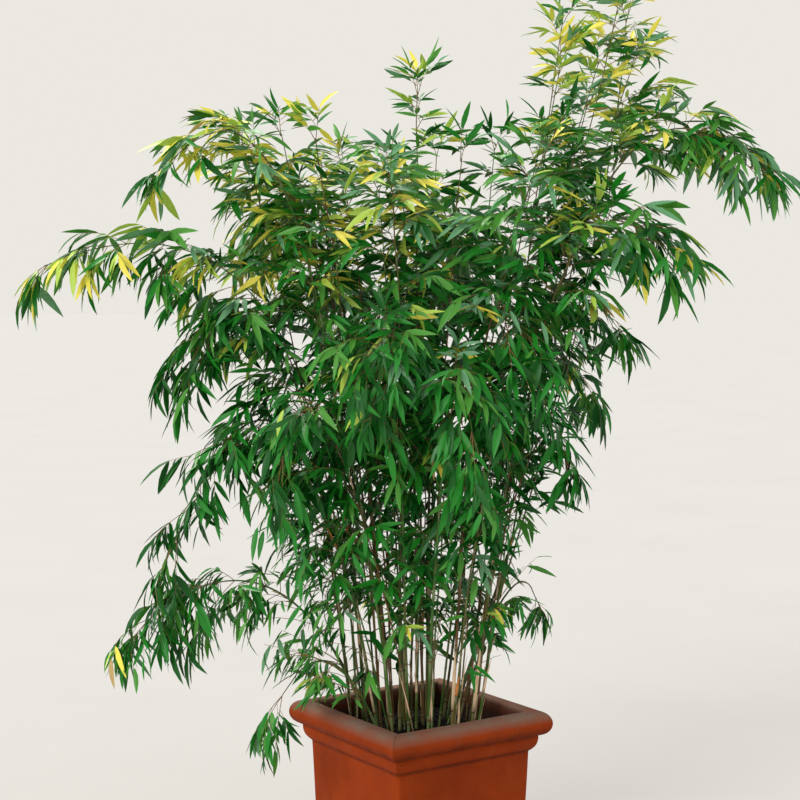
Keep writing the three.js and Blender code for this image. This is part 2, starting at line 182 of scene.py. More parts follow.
# Up to each height, the odds that a joint keeps its sheath, and that the sheath is cream.
SHEATH_TOP = 1.15
SHEATH_ODDS = ((0.5, 0.5), (0.8, 0.34), (SHEATH_TOP, 0.12))
CREAM_ODDS = ((0.6, 0.85), (SHEATH_TOP, 0.35))
PAPER = 0.0003
# How far a cane sways from its path, and by what angle the sway moves on at each joint.
SWAY, SWAY_TURN = 0.0022, 2.2
# Side shoots on the bare part of a cane: at the left, at the front, and elsewhere.
SHOOTS_LEFT, SHOOTS_FRONT, SHOOTS_ELSE = 11, 9, 7
# Up to each share, a side shoot has side twigs of its own, and has leaves at all.
SHOOT_BRANCHED, SHOOT_LEAFY = 0.3, 0.9
# The skins of the canes, each with the share of canes that have it or one before it.
SKINS = (("green", 0.6), ("olive", 0.88), ("brown", 1.0))

# Breadths of a leaf at shares of its length, and the droop, sickle, twist and fold of each shape.
LEAF_OUTLINE = ((0.0, 0.07), (0.1, 0.6), (0.32, 1.0), (0.58, 0.88), (0.83, 0.44), (1.0, 0.0))
LEAF_BENDS = ((0.16, 0.0, 0.25, 0.28), (0.38, 0.12, -0.3, 0.34), (0.26, -0.16, 0.4, 0.26),
              (0.08, 0.08, -0.15, 0.38), (0.62, -0.06, 0.2, 0.32))
TONES = ("deep", "mid", "fresh", "pale", "lime", "yellow", "straw")
LIME, BACKLIT_YELLOW = TONES.index("lime"), TONES.index("yellow")

# Seeds of the rows of chance numbers.
THICKNESS_SEED, THIN_SEED, JOINT_SEED, SHEATH_SEED = 611, 4177, 2203, 733
TWIG_SEED, TWIG_SEED_STEP, SHOOT_SEED, CRUMB_SEED = 1301, 97, 9001, 11

UP = np.array([0.0, 0.0, 1.0])

Twig = namedtuple("Twig", "points thick thin")
Leaf = namedtuple("Leaf", "root way across face long broad kind tone")
Track = namedtuple("Track", "cane skin joints whole phase")


# Settings.

def length(name, text, default):
    return FloatProperty(name=name, description=text, default=default, min=0.0, unit="LENGTH",
                         precision=4)


def amount(name, text, default, low=0.0, **more):
    return FloatProperty(name=name, description=text, default=default, min=low, **more)


def tally(name, text, default, low=0):
    return IntProperty(name=name, description=text, default=default, min=low)


def colour(name, text, red, green, blue):
    """A colour setting. The three numbers are the colour as it is seen, from 0 to 255."""
    return FloatVectorProperty(name=name, description=text, default=seen(red, green, blue),
                               subtype="COLOR", min=0.0, max=1.0)


def seen(*levels):
    """Turns screen levels into the linear values that shaders take."""
    shares = [level / 255 for level in levels]
    return tuple(s / 12.92 if s <= 0.04045 else ((s + 0.055) / 1.055) ** 2.4 for s in shares)


class PlanterSettings(bpy.types.PropertyGroup):
    unevenness: length("Unevenness", "How far the hand-pressed walls wander", 0.0005)
    clay: colour("Clay", "Fired clay of the walls", 158, 60, 13)
    clay_dark: colour("Dark clay", "Clay in its darker patches", 140, 51, 12)
    lime: colour("Lime", "Grey bloom on top of the rim", 126, 110, 95)
    # This colour marks real stains and also paints shade: under the rim and the band, along the
    # mitres and in the pits.
    stain_and_shade: colour("Stain", "Dark line under the rim", 64, 26, 12)


class SoilSettings(bpy.types.PropertyGroup):
    mound: length("Mound", "How far the soil rises round the canes", 0.007)
    crumb: length("Crumb", "Size of a soil crumb", 0.0035)
    crumbs: amount("Crumbs", "Crumbs to a square metre", 13000.0)
    earth: colour("Earth", "Moist potting soil", 20, 16, 12)
    crust: colour("Crust", "Dry bits on the soil", 48, 38, 28)


class CaneSettings(bpy.types.PropertyGroup):
    foot: length("Foot radius", "Radius of the thickest cane at the soil", 0.0040)
    tip: length("Tip radius", "Radius of a cane at its tip", 0.0011)
    joint: length("Joint spacing", "Distance from one swollen joint to the next", 0.135)
    swell: amount("Swelling", "Radius of a joint against the cane's", 1.18, low=1.0,
                  subtype="FACTOR", soft_max=2.0)
    shoots: tally("Thin canes", "Thin canes among the main ones", 26)
    green: colour("Green", "Skin of the young canes", 66, 114, 28)
    olive: colour("Olive", "Skin of the older canes", 98, 100, 36)
    brown: colour("Brown", "Skin of the oldest canes", 126, 88, 38)
    bloom: colour("Bloom", "Waxy bloom under each joint", 160, 164, 120)


class SheathSettings(bpy.types.PropertyGroup):
    tall: length("Height", "Height of a papery sheath", 0.066)
    stand: length("Stand", "How far its tip stands off the cane", 0.0035)
    cream: colour("Cream", "Fresh papery sheaths", 255, 220, 176)
    tan: colour("Tan", "Weathered sheaths", 226, 148, 74)


class FoliageSettings(bpy.types.PropertyGroup):
    joint: length("Joint spacing", "Distance between joints that bear twigs", 0.043)
    twigs: tally("Twigs", "Twigs at each joint", 3, low=1)
    leaf: length("Leaf", "Length of a full-grown leaf", 0.071)
    width: length("Leaf width", "Width of a full-grown leaf", 0.0143)
    hang: amount("Hang", "How strongly leaves hang", 0.85)
    twig: colour("Twig", "Bark of the thin twigs", 160, 128, 74)
    deep: colour("Deep", "Leaves in the shade of the crown", 8, 90, 15)
    mid: colour("Mid", "Most of the leaves", 28, 130, 30)
    fresh: colour("Fresh", "Younger leaves", 78, 150, 50)
    # Pale paints a sheen: the cool reflection of the sky on upper leaf faces, laid into the
    # colour.
    pale: colour("Pale", "Leaves with a cool bloom", 104, 160, 112)
    lime: colour("Lime", "Leaves in the sun", 184, 214, 84)
    # This tone paints light shining through the leaves at the top of the crown.
    yellow: colour("Yellow", "Leaves that turn", 246, 232, 92)
    straw: colour("Straw", "Dry leaves", 196, 168, 106)


class StageSettings(bpy.types.PropertyGroup):
    floor: colour("Floor", "Pale floor", 199, 196, 193)
    air: colour("Air", "Pale surround", 235, 232, 225)
    sky: amount("Sky", "Strength of the light all round", 0.66)
    key: amount("Key", "Strength of the soft light from the front", 1.3)
    top: amount("Top", "Strength of the light over and behind the crown", 2.4)
    lens: amount("Lens", "Focal length of the camera in millimetres", 81.0, low=10.0)


# Growth.

def chance(seed):
    """The source's row of even numbers between 0 and 1."""
    state = seed

    def draw():
        nonlocal state
        state = state * 48271 % 2147483647
        return state / 2147483647

    return draw


def mix(ends, share):
    return ends[0] + (ends[1] - ends[0]) * share


def heading(degrees):
    a = math.radians(degrees)
    return np.array([math.cos(a), math.sin(a), 0.0])


def unit(v):
    return v / max(1e-9, math.sqrt(float(v @ v)))


def bend(path, t):
    """A point on a three-point curve."""
    u = 1 - t
    return path[0] * u * u + path[1] * 2 * u * t + path[2] * t * t


def run(path, t):
    """The direction of a three-point curve."""
    return unit((path[1] - path[0]) * (1 - t) + (path[2] - path[1]) * t)


def samples(path, start, end, count):
    return np.array([bend(path, mix((start, end), i / count)) for i in range(count + 1)])


def path_length(points):
    return float(np.linalg.norm(np.diff(points, axis=0), axis=1).sum())


def path_gap(points, others):
    """Least distance between two runs of points, each measured to the other's stretches."""
    def one_way(spots, track):
        start, step = track[:-1], np.diff(track, axis=0)
        reach = spots[:, None] - start[None]
        share = (reach * step).sum(2) / (step * step).sum(1)
        off = reach - step * np.clip(share, 0, 1)[..., None]
        return np.linalg.norm(off, axis=2).min()

    return min(one_way(points, others), one_way(others, points))


class Cane:
    """One cane: a three-point path, the radius of its foot, and where its leafy part starts."""

    def __init__(self, name, bearing, path, bare, spread, foot):
        self.name, self.bearing, self.path = name, bearing, path
        self.spread, self.foot = spread, foot
        self.leafy = bare < 1
        self.bare = bare if self.leafy else BARE_TO

    def radius(self, share, tip):
        return mix((self.foot, min(tip, self.foot)), share ** 0.8)


def clump_rows():
    """The leafy canes: the named arms, then the groups between them."""
    rows = [dict(zip(ARM_FIELDS, arm)) for arm in ARMS]
    for name, count, bearings, reaches, tips, lift, bow, bare, spread, foot in GROUPS:
        for i in range(count):
            wave = (i * GOLDEN) % 1
            tip = mix(tips, wave)
            rows.append(dict(
                name=f"{name}_{i + 1}", bearing=mix(bearings, i / (count - 1)), foot=foot,
                bare=bare, reach=mix(reaches, 1 - wave), tip=tip, pull=tip + lift, bow=bow,
                spread=spread))
    return rows


def foot_at(out, a):
    """A spot on the soil: a share of the clump's reach out from its middle, at an angle."""
    return np.array([CLUMP_X + CLUMP_BROAD * out * math.cos(a), CLUMP_DEEP * out * math.sin(a),
                     FOOT_HEIGHT])


def foot_spots(count):
    """Feet laid out like seeds in a head."""
    return [foot_at(math.sqrt((i + 0.5) / count), i * SEED_TURN) for i in range(count)]


def place_rows():
    """Gives every cane of the source its foot and its end."""
    middle = np.array([CLUMP_X, 0.0, 0.0])
    rows = clump_rows()
    free = foot_spots(len(rows) + INNER_CANES)
    for row in rows:
        wish = foot_at(row["foot"], math.radians(row["bearing"]))
        free.sort(key=lambda spot: np.linalg.norm(spot - wish))
        row["root"] = free.pop(0)
        row["end"] = middle + heading(row["bearing"]) * row["reach"] + UP * row["tip"]
    for i, root in enumerate(free):
        lean = np.array([root[0] - CLUMP_X, root[1], 0.0])
        top = mix(INNER_TOP, (i * GOLDEN) % 1)
        rows.append(dict(
            name=f"inner_{i + 1}", bearing=math.degrees(math.atan2(lean[1], lean[0])),
            reach=np.linalg.norm(lean) * INNER_FAN, pull=mix((SOIL_HIGH[2], top), 0.55), bow=0.62,
            bare=1, spread=0.12, root=root, end=lean * INNER_FAN + middle + UP * top))
    return rows


def plant_clump(foot):
    """Every cane of the source, with the same foot, end and knee, and its natural thickness."""
    middle = np.array([CLUMP_X, 0.0, 0.0])
    draw = chance(THICKNESS_SEED)
    canes, tracks = [], []
    for row in place_rows():
        # The knee turns to one side and the other until the cane is clear of those before it.
        for turn in range(KNEE_TRIES):
            side = (1 if turn % 2 else -1) * math.ceil(turn / 2) * KNEE_STEP
            knee = (heading(row["bearing"] + side) * row["reach"] * row["bow"] + middle
                    + UP * row["pull"])
            path = np.array([row["root"], knee, row["end"]])
            track = samples(path, 0, 1, 20)
            if all(path_gap(track, other) > CANE_SPACING for other in tracks):
                break
        tracks.append(track)
        canes.append(Cane(row["name"], row["bearing"], path, row["bare"], row["spread"],
                          foot * mix((0.625, 1.0), draw())))
    return canes


def free_foot(feet, wish, draw):
    """The spot nearest to wish of those drawn that are clear of the other feet, if any is."""
    root = None
    for _ in range(FOOT_TRIES):
        a, out = draw() * 2 * math.pi, math.sqrt(draw())
        spot = foot_at(out, a)
        clear = min(np.linalg.norm(spot - foot) for foot in feet) > FOOT_SPACING
        if clear and (root is None or np.linalg.norm((spot - wish)[:2])
                      < np.linalg.norm((root - wish)[:2])):
            root = spot
    return root


def thin_canes(canes, count):
    """Thin canes that keep company with the main ones, inside the same crown."""
    draw = chance(THIN_SEED)
    feet = [cane.path[0] for cane in canes]
    leaders = [cane for cane in canes if cane.leafy and cane.name not in LONE_CANES]
    made = []
    for i in range(count):
        leader = leaders[(i * 7 + 3) % len(leaders)]
        wisp = i < len(WISPS)
        wish = np.array([*WISPS[i][:2], FOOT_HEIGHT]) * 0.4 if wisp else leader.path[0]
        root = free_foot(feet, wish, draw)
        if root is None:
            continue
        feet.append(root)
        if wisp:
            end = np.array(WISPS[i])
            knee = np.array([*mix((root[:2], end[:2]), 0.35), 1.15])
        else:
            end = bend(leader.path, 0.72 + 0.2 * draw())
            end = end + np.array([draw() - 0.5, draw() - 0.5, 0.6 * (draw() - 0.5)]) * 0.13
            knee = mix((root, leader.path[1]), 0.8)
            knee = knee + np.array([draw() - 0.5, draw() - 0.5, 0]) * 0.05
            knee[2] = mix((root[2], min(leader.path[1][2], end[2] + 0.15)), 0.85)
        foot = 0.0017 + 0.0012 * draw()
        made.append(Cane("wisp" if wisp else "shoot", leader.bearing,
                         np.array([root, knee, end]), 0.55 + 0.12 * draw(), 0.09, foot))
    return made


def joints(cane, spacing, draw):
    """Shares of the path at which the cane is jointed, closer together near the soil."""
    whole = path_length(samples(cane.path, 0, 1, 30))
    at, gap, found = 0.012 + 0.02 * draw(), 0.045, []
    while at < whole - 0.03:
        found.append(at / whole)
        gap = min(spacing * (0.85 + 0.3 * draw()), gap * 1.45)
        at += gap * (1 - 0.35 * at / whole)
    return found, whole


class Growth:
    """All that grows from the canes: twigs as runs of points, and leaves as rows."""

    def __init__(self):
        self.twigs = []
        self.leaves = []

    def twig(self, path, thick, thin, pieces=4):
        self.twigs.append(Twig(samples(path, 0, 1, pieces), thick, thin))


def has_room(point, off_pot=0.006, in_box=0.002):
    """Whether a point of the clump's frame is clear of the planter and well inside the box."""
    spot = to_frame(point)
    clear = (spot[2] > POT_HEIGHT + off_pot
             or max(abs(spot[0]), abs(spot[1])) > RIM_HALF + off_pot)
    return clear and all(low + in_box < at < high - in_box
                         for low, at, high in zip(CAD_LOW, spot, CAD_HIGH))


def arch(start, way, long, sag, knee=0.55, tip=0.95):
    """A twig's path: it sets out along way, and sags towards its tip."""
    return np.array([start, start + way * long * knee,
                     start + way * long * tip - UP * long * sag])


def to_frame(points):
    """From the clump's own frame to the planter's."""
    p = np.asarray(points, float)
    c, s = math.cos(VIEW_TURN), math.sin(VIEW_TURN)
    return np.stack([c * p[..., 0] + s * p[..., 1], c * p[..., 1] - s * p[..., 0], p[..., 2]], -1)


def within(value, low, high):
    """The share of the way from low to high, kept between 0 and 1."""
    return min(1.0, max(0.0, (value - low) / (high - low)))


def below(value, high, low):
    """The share of the way down from high to low, kept between 0 and 1."""
    return within(-value, -high, -low)


def tone_of(point, draw):
    """Deals out a leaf colour to a spray by its height and how far out it grows: painted sun and
    shade.
    """
    x, y, z = point
    out = math.hypot(x - CLUMP_X, y) / 0.75
    # Painted backlight: the left side and the crest of the crown get more of the lightest tones.
    backlight = max(within(-x, -0.2, 0.0), within(z, 1.68, 1.8))
    sun = within(z, 1.15, 1.65) * 0.85 + 0.3 * out * within(z, 1.0, 1.3)
    sun = min(1.0, sun + (0.16 * backlight - 0.06) * within(z, 1.2, 1.45))
    low, crest = below(z, 0.95, 0.7), within(z, 1.78, 1.92)
    # The weight of each tone in the shade and in the sun.
    weights = (
        mix((0.44 - 0.22 * low, 0.03), sun),
        mix((0.46 - 0.05 * low, 0.16), sun),
        mix((0.10 + 0.2 * low, 0.27), sun),
        mix((0.008 + 0.04 * low, 0.2 - 0.04 * backlight), sun),
        mix((0.004 + 0.02 * low, 0.09 + 0.22 * backlight + 0.25 * crest), sun),
        mix((0.0, 0.015 + 0.175 * backlight + 0.3 * crest), sun ** 1.5),
        mix((0.001, 0.003), sun),
    )
    pick, total = draw(), sum(weights)
    for index, weight in enumerate(weights):
        pick -= weight / total
        if pick < 0:
            return index
    return 0


def leaf_size(point):
    """Leaves are largest out on the arms, and smaller at the top and low down."""
    size = 1 - 0.16 * within(point[2], 1.5, 1.75) - 0.12 * below(point[2], 0.95, 0.75)
    return size * (1 + 0.22 * within(abs(point[0]), 0.32, 0.55))


def hang_at(point, hang):
    """Leaves hang in the crown and at the ends of the arms, and stand out more at its top."""
    high = within(point[2], 1.25, 1.8) * (1 - within(abs(point[0]), 0.42, 0.66))
    return hang * mix((1.0, 0.2), high) * mix((1.0, 1.45), below(point[2], 1.1, 0.85))


def share_of(cane, spot):
    """How many of its twigs a cane bears at a spot: fewer high up, low down and at the sides."""
    x, _, z = spot
    wisp = 0.2 + 0.32 * within(abs(x - 0.06), 0.16, 0.26)
    share = TWIG_SHARE.get(cane.name, wisp if cane.name == "wisp" else USUAL_SHARE)
    if cane.name in EVEN_CANES:
        return share
    share *= 1 - 0.32 * within(z, 1.35, 1.6) - 0.5 * below(z, 1.22, 1.0)
    share *= 1 - 0.6 * below(z, 1.0, 0.85)
    right = within(x, 0.3, 0.4) * below(z, 1.4, 1.3)
    return share * (1 - 0.18 * within(abs(x), 0.22, 0.4)) * (1 - 0.6 * right)


def own_tone(tone, draw):
    """A leaf's tone: its spray's, and now and then one lighter or darker."""
    if draw() < (0.5 if tone >= LIME else 0.15):
        return min(BACKLIT_YELLOW, max(0, tone + (1 if draw() < 0.35 else -1 - int(draw() * 1.5))))
    return tone


def grow_spray(growth, path, first, count, settings, draw):
    """A fan of leaves on the outer part of a twig, all of nearly one colour."""
    tip = path[2]
    tone = tone_of(tip, draw)
    outward = unit(np.array([tip[0] - CLUMP_X, tip[1], 0.0]))
    hang, size = hang_at(tip, settings.hang), settings.leaf * leaf_size(tip)
    for index in range(count):
        share = min(1.0, first + (1 - first) * (index + 0.5 * draw()) / max(1.0, count - 0.6))
        root, ahead = bend(path, share), run(path, share)
        side = np.cross(ahead, UP)
        side = unit(side) if side @ side > 1e-3 else np.array([1.0, 0.0, 0.0])
        flip = 1 if index % 2 else -1
        last = index == count - 1
        wide = (0.1 if last else mix((0.8, 0.35), index / count)) * (0.6 + 0.7 * draw())
        # A leaf that would touch the planter or leave the box turns inwards, or is left out.
        for attempt in range(4):
            stray = np.array([draw() - 0.5, draw() - 0.5, draw() - 0.5]) * 0.5
            way = ahead * 0.85 + side * flip * wide - UP * hang * (0.1 + 0.9 * draw()) + stray
            way = unit(way - outward * 0.5 * attempt)
            long = size * (0.62 + 0.55 * draw()) * (1 - 0.12 * attempt)
            ends = (root, root + way * long, root + way * long - UP * long * 0.25)
            if all(has_room(end) for end in ends):
                break
        else:
            continue
        sky = UP * 0.7 + outward * (0.2 + 0.5 * draw()) + stray * 1.5
        up = unit(sky - way * float(sky @ way))
        roll = draw() - 0.5 + 0.25 * flip
        face = unit(up * math.cos(roll) + np.cross(up, way) * math.sin(roll))
        kind = int(draw() * len(LEAF_BENDS)) % len(LEAF_BENDS)
        own = own_tone(tone, draw)
        growth.leaves.append(Leaf(root, way, np.cross(face, way), face, long,
                                  0.8 + 0.35 * draw(), kind, own))


def grow_branch(growth, start, way, long, thick, sag, settings, draw):
    """A branchlet that arches out and down, with a fan at its tip and fans on side twigs."""
    for _ in range(3):
        path = arch(start, way, long, sag, tip=0.96)
        if all(has_room(spot, in_box=0.008) for spot in path[1:]):
            break
        long *= 0.65
    else:
        return
    growth.twig(path, thick, 0.00045)
    grow_spray(growth, path, 0.45, 4 + int(draw() * 3), settings, draw)
    hang = hang_at(start, settings.hang)
    for index in range(3 if long > 0.09 else 2 if long > 0.055 else 1):
        share = 0.2 + 0.24 * index + 0.15 * draw()
        root, ahead = bend(path, share), run(path, share)
        side = unit(np.cross(ahead, UP) + np.array([1e-4, 0, 0]))
        flip = 1 if (index + int(draw() * 2)) % 2 else -1
        out = unit(ahead * 0.75 + side * flip * (0.5 + 0.7 * draw())
                   + UP * (0.6 * draw() - 0.3 - 0.3 * hang * draw()))
        reach = 0.022 + long * (0.2 + 0.3 * draw())
        short = arch(root, out, reach, 0.05 + 0.4 * draw() * hang)
        if not has_room(short[2], in_box=0.004):
            continue
        growth.twig(short, 0.0007, 0.0004, 3)
        grow_spray(growth, short, 0.3, 3 + int(draw() * 2), settings, draw)


def leaf_out(growth, cane, seed, settings):
    """Clothes the leafy part of one cane by the source's rule, carried to finer twigs."""
    draw = chance(seed)
    long = path_length(samples(cane.path, cane.bare, 1, 20))
    steps = max(2, round(long / settings.joint))
    spread = OWN_SPREAD.get(cane.name, cane.spread)
    twigs = settings.twigs - (cane.name in ("wisp", "shoot"))
    for k in range(steps + 1):
        step = min(0.985, 0.02 + 0.98 * k / steps)
        t = mix((cane.bare, 1), step)
        start, along = bend(cane.path, t), run(cane.path, t)
        side = unit(np.cross(along, np.array([0.13, 0.31, 0.94])))
        front = np.cross(along, side)
        last = k == steps
        fade = 0.85 if last else (1 - 0.5 * step * step) * min(1, 0.55 + 1.8 * step)
        rise = 0.0
        if cane.name in ARM_ENDS:
            fade = mix((0.95, ARM_ENDS[cane.name][0]), step)
            rise = ARM_ENDS[cane.name][1] * step
        share = share_of(cane, start)
        for j in range(twigs + (share > CROWDED)):
            a = 2 * math.pi * (j / twigs + k * (1 - GOLDEN)) + 0.5 * (draw() - 0.5)
            out = side * math.cos(a) + front * math.sin(a)
            ahead = mix((0.45, 0.8), step) + 0.35 * draw()
            way = unit(out * (0.35 if last else 0.85) + along * (1.1 if last else ahead)
                       + UP * (0.25 * (draw() - 0.6) + rise))
            long = spread * (0.6 + 0.6 * draw()) * fade
            long *= 1 - 0.55 * max(0.0, way[2] - 0.25) * (1 - max(0.0, along[2]))
            sag = (0.05 + 0.35 * draw()) * (0.3 + 0.7 * hang_at(start, settings.hang))
            if draw() < share or last:
                grow_branch(growth, start, way, long, 0.0011, sag, settings, draw)


def low_shoots(growth, canes, settings):
    """Steep side shoots with some leaves, on the bare part of the canes."""
    draw = chance(SHOOT_SEED)
    for cane in canes:
        root = cane.path[0]
        left, front = root[0] < CLUMP_X - 0.035, root[1] < -0.02
        for _ in range(SHOOTS_LEFT if left else SHOOTS_FRONT if front else SHOOTS_ELSE):
            t = cane.bare * mix((0.2, 0.95), draw())
            start, along = bend(cane.path, t), run(cane.path, t)
            a = math.radians(mix((125, 265), draw())) if left else 2 * math.pi * draw()
            out = np.array([math.cos(a), math.sin(a), 0.0])
            long = 0.05 + 0.11 * draw() + (0.07 * draw() if left else 0)
            way = unit(along * (0.9 - 0.35 * left) + out * (0.3 + 0.6 * draw()))
            sag = 0.05 + 0.35 * draw()
            path = arch(start, way, long, sag, knee=0.6)
            if not has_room(path[2], off_pot=0.03, in_box=0.01):
                continue
            kind = draw()
            if kind < SHOOT_BRANCHED:
                grow_branch(growth, start, way, long, 0.0009, sag, settings, draw)
                continue
            growth.twig(path, 0.0009, 0.00045)
            if kind < SHOOT_LEAFY:
                grow_spray(growth, path, 0.45, 3 + int(draw() * 3), settings, draw)


@lru_cache(maxsize=None)
def whole_clump(thin, foot):
    """The main canes and the thin ones."""
    canes = plant_clump(foot)
    return canes, thin_canes(canes, thin)


def clump_of(context):
    settings = context.scene.bamboo_canes
    return whole_clump(settings.shoots, settings.foot)


def tracks_of(context):
    """Every cane with its skin, its joints, its length and its sway, the same at each call."""
    settings = context.scene.bamboo_canes
    main, thin = clump_of(context)
    draw = chance(JOINT_SEED)
    for cane in main + thin:
        pick = draw()
        skin = next(name for name, top in SKINS if pick < top)
        shares, whole = joints(cane, settings.joint, draw)
        yield Track(cane, skin, shares, whole, draw() * 6.28)


def nodes_of(prefix, canes):
    """The names of the source's nodes for the canes."""
    return [prefix + cane.name for cane in canes]


# Meshes.

def new_piece(name, points, faces, edges=()):
    mesh = bpy.data.meshes.new(name)
    mesh.from_pydata([tuple(map(float, p)) for p in points], edges, faces)
    mesh.validate()
    piece = bpy.data.objects.new(name, mesh)
    bpy.context.collection.objects.link(piece)
    return piece


def smooth(piece):
    piece.data.polygons.foreach_set("use_smooth", [True] * len(piece.data.polygons))
    piece.data.update()


def add_numbers(mesh, name, kind, values):
    """Writes a point attribute. kind is FLOAT, INT or FLOAT_VECTOR."""
    layer = mesh.attributes.new(name, kind, "POINT")
    key = "vector" if kind == "FLOAT_VECTOR" else "value"
    layer.data.foreach_set(key, np.asarray(values, float if kind != "INT" else int).ravel())


def settle(piece):
    """Swaps a piece's modifiers for the plain mesh that they make."""
    graph = bpy.context.evaluated_depsgraph_get()
    mesh = bpy.data.meshes.new_from_object(piece.evaluated_get(graph))
    piece.modifiers.clear()
    old = piece.data
    piece.data = mesh
    mesh.name = piece.name
    bpy.data.meshes.remove(old)


def hand_over(piece, look=None, nodes=()):
    """Gives a finished piece its look, its body and the nodes that it stands for."""
    if look:
        piece.data.materials.clear()
        piece.data.materials.append(look)
    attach(piece, "root")
    if nodes:
        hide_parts(*nodes)


# Geometry nodes.

class Nodes:
    """Adds nodes to a tree and feeds their inputs."""

    def __init__(self, tree):
        self.tree = tree

    def feed(self, socket, value):
        """Gives an input a value, or links another node's output to it."""
        if isinstance(value, bpy.types.NodeSocket):
            self.tree.links.new(value, socket)
        elif socket.type == "RGBA":
            socket.default_value = (*value, 1.0)
        else:
            socket.default_value = value

    def node(self, kind, inputs=None, **settings):
        made = self.tree.nodes.new(kind)
        for key, value in settings.items():
            setattr(made, key, value)
        for key, value in (inputs or {}).items():
            self.feed(made.inputs[key], value)
        return made

    def math(self, operation, *values):
        node = self.node("ShaderNodeMath", dict(enumerate(values)), operation=operation)
        return node.outputs[0]

    def times(self, one, other):
        return self.math("MULTIPLY", one, other)


class Tree(Nodes):
    """A geometry node tree in the making, with named inputs."""

    def __init__(self, name, **inputs):
        super().__init__(bpy.data.node_groups.new(name, "GeometryNodeTree"))
        face = self.tree.interface
        inputs = {"Geometry": "Geometry", **inputs, "Material": "Material"}
        for label, kind in inputs.items():
            face.new_socket(label.replace("_", " "), in_out="INPUT",
                            socket_type="NodeSocket" + kind)
        face.new_socket("Geometry", in_out="OUTPUT", socket_type="NodeSocketGeometry")
        self.given = self.tree.nodes.new("NodeGroupInput").outputs

    def attribute(self, name, kind):
        made = self.node("GeometryNodeInputNamedAttribute", {"Name": name}, data_type=kind)
        return made.outputs["Attribute"]

    def scaled(self, vector, scale):
        node = self.node("ShaderNodeVectorMath", {0: vector, "Scale": scale}, operation="SCALE")
        return node.outputs["Vector"]

    def close(self, geometry):
        """Ends the tree with real meshes in one material."""
        real = self.node("GeometryNodeRealizeInstances", {"Geometry": geometry})
        dressed = self.node("GeometryNodeSetMaterial", {
            "Geometry": real.outputs["Geometry"], "Material": self.given["Material"]})
        self.node("NodeGroupOutput", {"Geometry": dressed.outputs["Geometry"]})
        return self.tree


def put_on(piece, tree, **values):
    """Adds the tree as a modifier, sets its inputs by their identifiers, and makes it a mesh."""
    modifier = piece.modifiers.new(tree.name, "NODES")
    modifier.node_group = tree
    names = {item.name: item.identifier for item in tree.interface.items_tree
             if item.item_type == "SOCKET" and item.in_out == "INPUT"}
    for key, value in values.items():
        modifier[names[key.replace("_", " ")]] = value
    settle(piece)


def tube_tree():
    """Round tubes along runs of edges, as thick as the points' own radius says."""
    t = Tree("Tubes", Sides="Int", Thickness="Float")
    line = t.node("GeometryNodeMeshToCurve", {"Mesh": t.given["Geometry"]})
    thick = t.times(t.attribute("radius_at", "FLOAT"), t.given["Thickness"])
    ring = t.node("GeometryNodeCurvePrimitiveCircle", {
        "Resolution": t.given["Sides"], "Radius": 1.0})
    tube = t.node("GeometryNodeCurveToMesh", {
        "Curve": line.outputs["Curve"], "Profile Curve": ring.outputs["Curve"],
        "Scale": thick, "Fill Caps": True})
    soft = t.node("GeometryNodeSetShadeSmooth", {"Geometry": tube.outputs["Mesh"]})
    return t.close(soft.outputs["Geometry"])


def leaf_tree():
    """Sets a leaf shape on every point, turned and sized by the point's own numbers."""
    t = Tree("Leaves", Leaf_Shapes="Collection", Growth="Float")
    shapes = t.node("GeometryNodeCollectionInfo", {
        "Collection": t.given["Leaf Shapes"], "Separate Children": True,
        "Reset Children": True})
    turn = t.node("FunctionNodeEulerToRotation", {"Euler": t.attribute("turn", "FLOAT_VECTOR")})
    set_out = t.node("GeometryNodeInstanceOnPoints", {
        "Points": t.given["Geometry"], "Instance": shapes.outputs["Instances"],
        "Pick Instance": True, "Instance Index": t.attribute("kind", "INT"),
        "Rotation": turn.outputs["Rotation"],
        "Scale": t.scaled(t.attribute("size", "FLOAT_VECTOR"), t.given["Growth"])})
    return t.close(set_out.outputs["Instances"])


def crumb_tree():
    """Scatters a lump over a surface, each turned and sized by chance from a fixed seed."""
    t = Tree("Crumbs", Lump="Object", Density="Float", Size="Float", Seed="Int")
    spots = t.node("GeometryNodeDistributePointsOnFaces", {
        "Mesh": t.given["Geometry"], "Density": t.given["Density"], "Seed": t.given["Seed"]})
    lump = t.node("GeometryNodeObjectInfo", {"Object": t.given["Lump"]})
    turn, grow = [t.node("FunctionNodeRandomValue", {
        "Min": low, "Max": high, "Seed": t.math("ADD", t.given["Seed"], step)},
        data_type="FLOAT_VECTOR").outputs["Value"] for low, high, step in (
            ((0, 0, 0), (6.28, 6.28, 6.28), 3), ((0.35, 0.3, 0.2), (1.3, 1.0, 0.7), 8))]
    set_out = t.node("GeometryNodeInstanceOnPoints", {
        "Points": spots.outputs["Points"], "Instance": lump.outputs["Geometry"],
        "Rotation": turn, "Scale": t.scaled(grow, t.given["Size"])})
    return t.close(set_out.outputs["Instances"])


# Materials.

def shade(paint, share):
    """The same colour, darker."""
    return tuple(level * share for level in paint)


